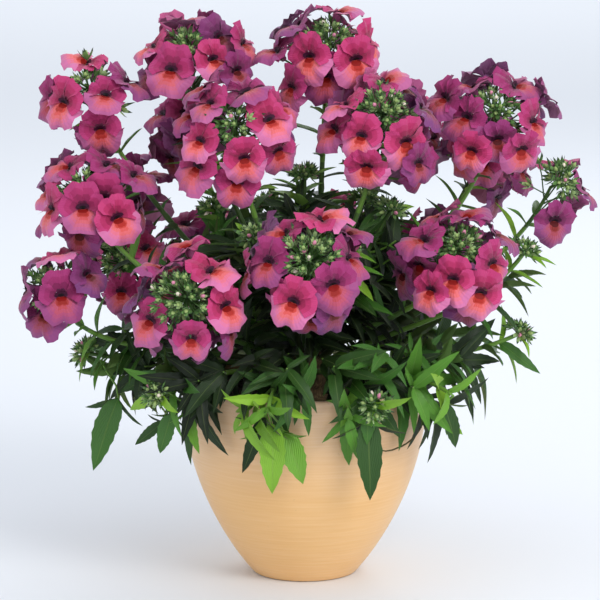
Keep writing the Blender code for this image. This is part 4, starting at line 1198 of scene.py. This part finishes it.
# The tube's cap deep in the throat is coloured as painted shade, its sides as the underside
tube_skin = round_skin(len(THROAT_TUBE), THROAT_SIDES)
lips.add(placed(turned(THROAT_TUBE, THROAT_SIDES)[None], throats, frames, sizes), tube_skin,
         np.where(tube_skin[2][:, 1] > 3, dark_arch, under))
petals.piece("upper_petals", "petals", petal_finishes, *bloom_nodes)
lips.piece("lower_petals", "petals", petal_finishes, *bloom_nodes)


# Stalks, calyces and buds
# Each flower stands on a hair-thin green stalk and in a star of five narrow sepals with dark tips.
# On top of each head is a low dome of closed buds, each a small green star, and some show pink or cream.
# A few more buds stand between the flowers on long stalks, and all leafy shoots but two end in a small knot.
SEPALS = 5
SEPAL_GRID = (4, 3)
SEPAL_SHAPE = np.array((0.35, 1.0, 0.62, 0.0))
SEPAL_SWELL = np.array((0.0, 1.0, 0.6, 0.0))
SEPAL_LENGTH = 0.0045
SEPAL_WIDTH = 0.36
SEPAL_DEPTH = 0.3
SEPAL_FOOT = 0.12
CALYX_OPEN = 0.9
BUD_OPEN = 0.65
STALK_HANDLE = 0.35
STALK_LIFT = 0.1
GOLDEN_TURN = 2.39996
BUD_LENGTH = 0.0058
BUD_SIZES = (0.80, 1.25)
BUD_HEIGHTS = (0.65, 1.22)
BUD_SINK = 0.35
BUD_CLEAR = 0.0026
BUD_STALK_RADII = (0.0005, 0.0004, 0.0004, 0.0004)
BUD_RADII = (0.0004, 0.0013, 0.0011, 0.0004)
BUD_STATIONS = np.linspace(0.0, 0.7, len(BUD_RADII))
HEAD_KNOTS = ((46, 0.0138), (20, 0.0080))
KNOT_FOOT_SHARE = 0.3
TIP_BUDS = 15
TIP_BUD_DOME = 0.0055
TIP_UPRIGHT = 0.6
SIDE_BUDS = 5
SIDE_BUD_TILTS = (62, 108)
SIDE_BUD_DISTANCES = (0.016, 0.023)
SIDE_BUD_SIZES = (1.1, 1.4)
SIDE_BUD_FEET = (0.004, 0.016)
BARE_TIPS = ("skirt_1", "skirt_3")
BUD_COVER = math.radians(115)

green_finishes = []
for name, code, gloss in (("stalk_green", "#436A26", 0.5), ("sepal_green", "#5C8440", 0.6),
                          ("sepal_pale", "#98B274", 0.6), ("sepal_dark_tip", "#2E4826", 0.6),
                          ("bud_green", "#96AC64", 0.6), ("bud_pink", "#DC88A4", 0.6),
                          ("bud_cream", "#EBDCC8", 0.6)):
    material, shader = finish(name, linear(code), gloss, Sheen_Weight=0.1)
    relief(material, shader, noise(material, 2500.0, 1.0), 0.0002, 0.5)
    green_finishes.append(material)

sepal_skin = thin_skin(*SEPAL_GRID, False, True)
sepal_tip = sepal_skin[2][:, 1] == 2


def add_stars(growth, middles, axes, lengths, open_share, numbers):
    """Stars of narrow pointed sepals round an axis: each leaves the middle and leans outwards by an open
    share. A sepal is a grid of u across and v along, with its widest place a third of the way up."""
    v, u = sheet(*SEPAL_GRID)
    shape = SEPAL_SHAPE[:, None]
    size = lengths[:, None, None]
    width = size * SEPAL_WIDTH
    rise = size * (0.10 * np.sin(math.pi * v) - 0.06 * np.abs(u) * shape)
    depth = width * SEPAL_DEPTH * (1 - u ** 2) * SEPAL_SWELL[:, None]
    sepal = with_back(joined(width / 2 * u * shape, size * v, rise), depth)
    side, other = across(axes)
    for k in range(SEPALS):
        turn = 2 * math.pi * k / SEPALS + 0.7 * np.arange(len(middles))[:, None]
        outward = np.cos(turn) * side + np.sin(turn) * other
        reach = unit(axes + outward * open_share)
        face = leaning(outward - axes * 0.4, reach)
        points = placed(sepal, middles + outward * lengths[:, None] * SEPAL_FOOT, leaf_frames(reach, face))
        growth.add(points, sepal_skin, np.where(sepal_tip, 3, numbers))


greens = Growth()
necks = throats - frames[:, 2] * FLOWER_DEPTH
spans = np.linalg.norm(necks - feet, axis=1)[:, None]
stalks = bezier(feet, feet + unit(necks - feet) * spans * STALK_HANDLE + UP * spans * STALK_LIFT,
                necks - frames[:, 2] * spans * STALK_HANDLE, necks, len(STALK_RADII))
add_tubes(greens, stalks, STALK_RADII, 5)
add_stars(greens, necks, frames[:, 2], np.full(len(necks), SEPAL_LENGTH), CALYX_OPEN, 1)

# Inside each head the stem goes on to the knot of buds. Knots: index, top, axis, foot of the stalks,
# number of buds and radius of the dome
spines = []
knots = []
for head in heads:
    top = head.middle + head.axis * BUD_KNOT_RISE
    foot = head.middle + head.axis * BUD_KNOT_RISE * KNOT_FOOT_SHARE
    spines.append(np.vstack((stretch(head.path, 1 - HEAD_NECK / head.length + GAP / head.length, 1, 7), top)))
    share = CLOSED_HEADS.get(head.name, 1.0)
    for number, dome in HEAD_KNOTS:
        knots.append((head.index, top, head.axis, foot, round(number * share), dome * share ** 0.5))
for shoot in shoots:
    if shoot.name not in BARE_TIPS:
        tip, ahead = along(shoot.path, 1.0)
        axis = unit(ahead + TIP_UPRIGHT * UP)
        knots.append((shoot.index, tip + axis * TIP_BUD_DOME * 0.5, axis, tip, TIP_BUDS, TIP_BUD_DOME))
add_tubes(greens, spines, np.linspace(STEM_TIP_RADIUS, SPINE_TIP_RADIUS, 8), 8)

found = []


def add_bud(index, place, outward, upward, length, foot):
    """Add a bud at the end of its stalk, unless its middle comes too close to a petal of its head."""
    middle = place + outward * length * 0.5
    if all(tree.find_nearest(middle)[3] > BUD_CLEAR for tree in petal_trees.get(index, ())):
        found.append((place, unit(outward + upward * UP), length, foot))


for index, top, axis, foot, number, dome in knots:
    rng = np.random.default_rng(HEAD_SEED + 50 + index)
    for k in range(number):
        share = (k + 0.5) / number
        tilt = math.acos(1 - share * (1 - math.cos(BUD_COVER)))
        outward = tilted(axis, tilt, k * GOLDEN_TURN + rng.uniform(-0.2, 0.2))
        offset = outward * dome * rng.uniform(*BUD_HEIGHTS)
        length = BUD_LENGTH * (0.75 + 0.50 * share) * rng.uniform(*BUD_SIZES)
        add_bud(index, top + offset - axis * BUD_SINK * max(offset @ axis, 0), outward, 0.2, length, foot)
for head in heads:
    rng = np.random.default_rng(HEAD_SEED + 90 + head.index)
    for k in range(SIDE_BUDS):
        tilt = math.radians(rng.uniform(*SIDE_BUD_TILTS))
        outward = tilted(head.axis, tilt, 2 * math.pi * k / SIDE_BUDS + rng.uniform(-0.3, 0.3))
        place = head.middle + outward * rng.uniform(*SIDE_BUD_DISTANCES)
        length = BUD_LENGTH * rng.uniform(*SIDE_BUD_SIZES)
        foot = along(head.path, 1 - rng.uniform(*SIDE_BUD_FEET) / head.length)[0]
        add_bud(head.index, place, outward, 0.4, length, foot)

places, axes, lengths, bud_feet = (np.array(part) for part in zip(*found))
order = np.arange(len(found))[:, None]
spans = np.linalg.norm(places - bud_feet, axis=1)[:, None]
bud_stalks = bezier(bud_feet, bud_feet * 0.6 + places * 0.4, places - axes * spans * STALK_HANDLE, places,
                    len(BUD_STALK_RADII))
cores = places[:, None] + axes[:, None] * lengths[:, None, None] * BUD_STATIONS[:, None]
stars = Growth()
add_stars(stars, places, axes, lengths, BUD_OPEN, np.where(order % 3 == 0, 2, 1))
buds = Growth()
add_tubes(buds, bud_stalks, BUD_STALK_RADII, 4)
add_tubes(buds, cores, BUD_RADII, 6, np.where(order % 11 == 7, 5, np.where(order % 17 == 9, 6, 4)))
greens.piece("stalks_and_calyces", "stem", green_finishes, *bloom_nodes)
stars.piece("bud_sepals", "stem", green_finishes, *bloom_nodes, *shoot_nodes)
buds.piece("buds_on_stalks", "stem", green_finishes, *bloom_nodes, *shoot_nodes)


# Stage
# A plain pale floor without edges, a soft bright room light and four broad lamps.
FLOOR_REACH = 14.0
FLOOR_LEVEL = -0.0005
ROOM_LIGHT = 0.92

# Lamps: name, place, aim, size and power
LAMPS = (
    ("key_lamp", (1.1, -1.6, 1.5), (0, 0, 0.18), 1.0, 27),
    ("fill_lamp", (-1.5, -1.2, 0.9), (0, 0, 0.18), 1.2, 2),
    ("back_lamp", (0.5, 1.6, 1.6), (0.1, 0, 0.2), 1.0, 9),
    ("far_lamp", (0.2, 6.0, 3.0), (0.2, 5.9, 0), 3.0, 36),
)

bpy.ops.mesh.primitive_circle_add(vertices=64, radius=FLOOR_REACH, fill_type="NGON",
                                  location=(0, 0, FLOOR_LEVEL))
floor = bpy.context.object
floor.name = "floor"
floor.data.materials.append(finish("pale_floor", linear("#E5E8EC"), 0.7)[0])

world = bpy.data.worlds.new("room_light")
bpy.context.scene.world = world
world.use_nodes = True
world.node_tree.nodes["Background"].inputs["Color"].default_value = (*linear("#EEF3FB"), 1.0)
world.node_tree.nodes["Background"].inputs["Strength"].default_value = ROOM_LIGHT


def aimed(name, data, place, aim):
    """Stand a lamp or a camera at a place and turn it to its aim."""
    body = bpy.data.objects.new(name, data)
    body.location = place
    body.rotation_euler = (Vector(aim) - Vector(place)).to_track_quat("-Z", "Y").to_euler()
    bpy.context.scene.collection.objects.link(body)
    return body


for name, place, aim, size, power in LAMPS:
    light = bpy.data.lights.new(name, "AREA")
    light.size = size
    light.energy = power
    aimed(name, light, place, aim)

bpy.context.scene.view_settings.view_transform = "Standard"

# Camera: a long lens about 1.8 m away, a little above the plant and level with the photographer's chest
CAMERA_PLACE = (-0.0029, -1.80, 0.4695)
CAMERA_AIM = (-0.0029, 0.0, 0.1684)
CAMERA_LENS = 179.4
camera = aimed("camera", bpy.data.cameras.new("camera"), CAMERA_PLACE, CAMERA_AIM)
camera.data.lens = CAMERA_LENS
bpy.context.scene.camera = camera
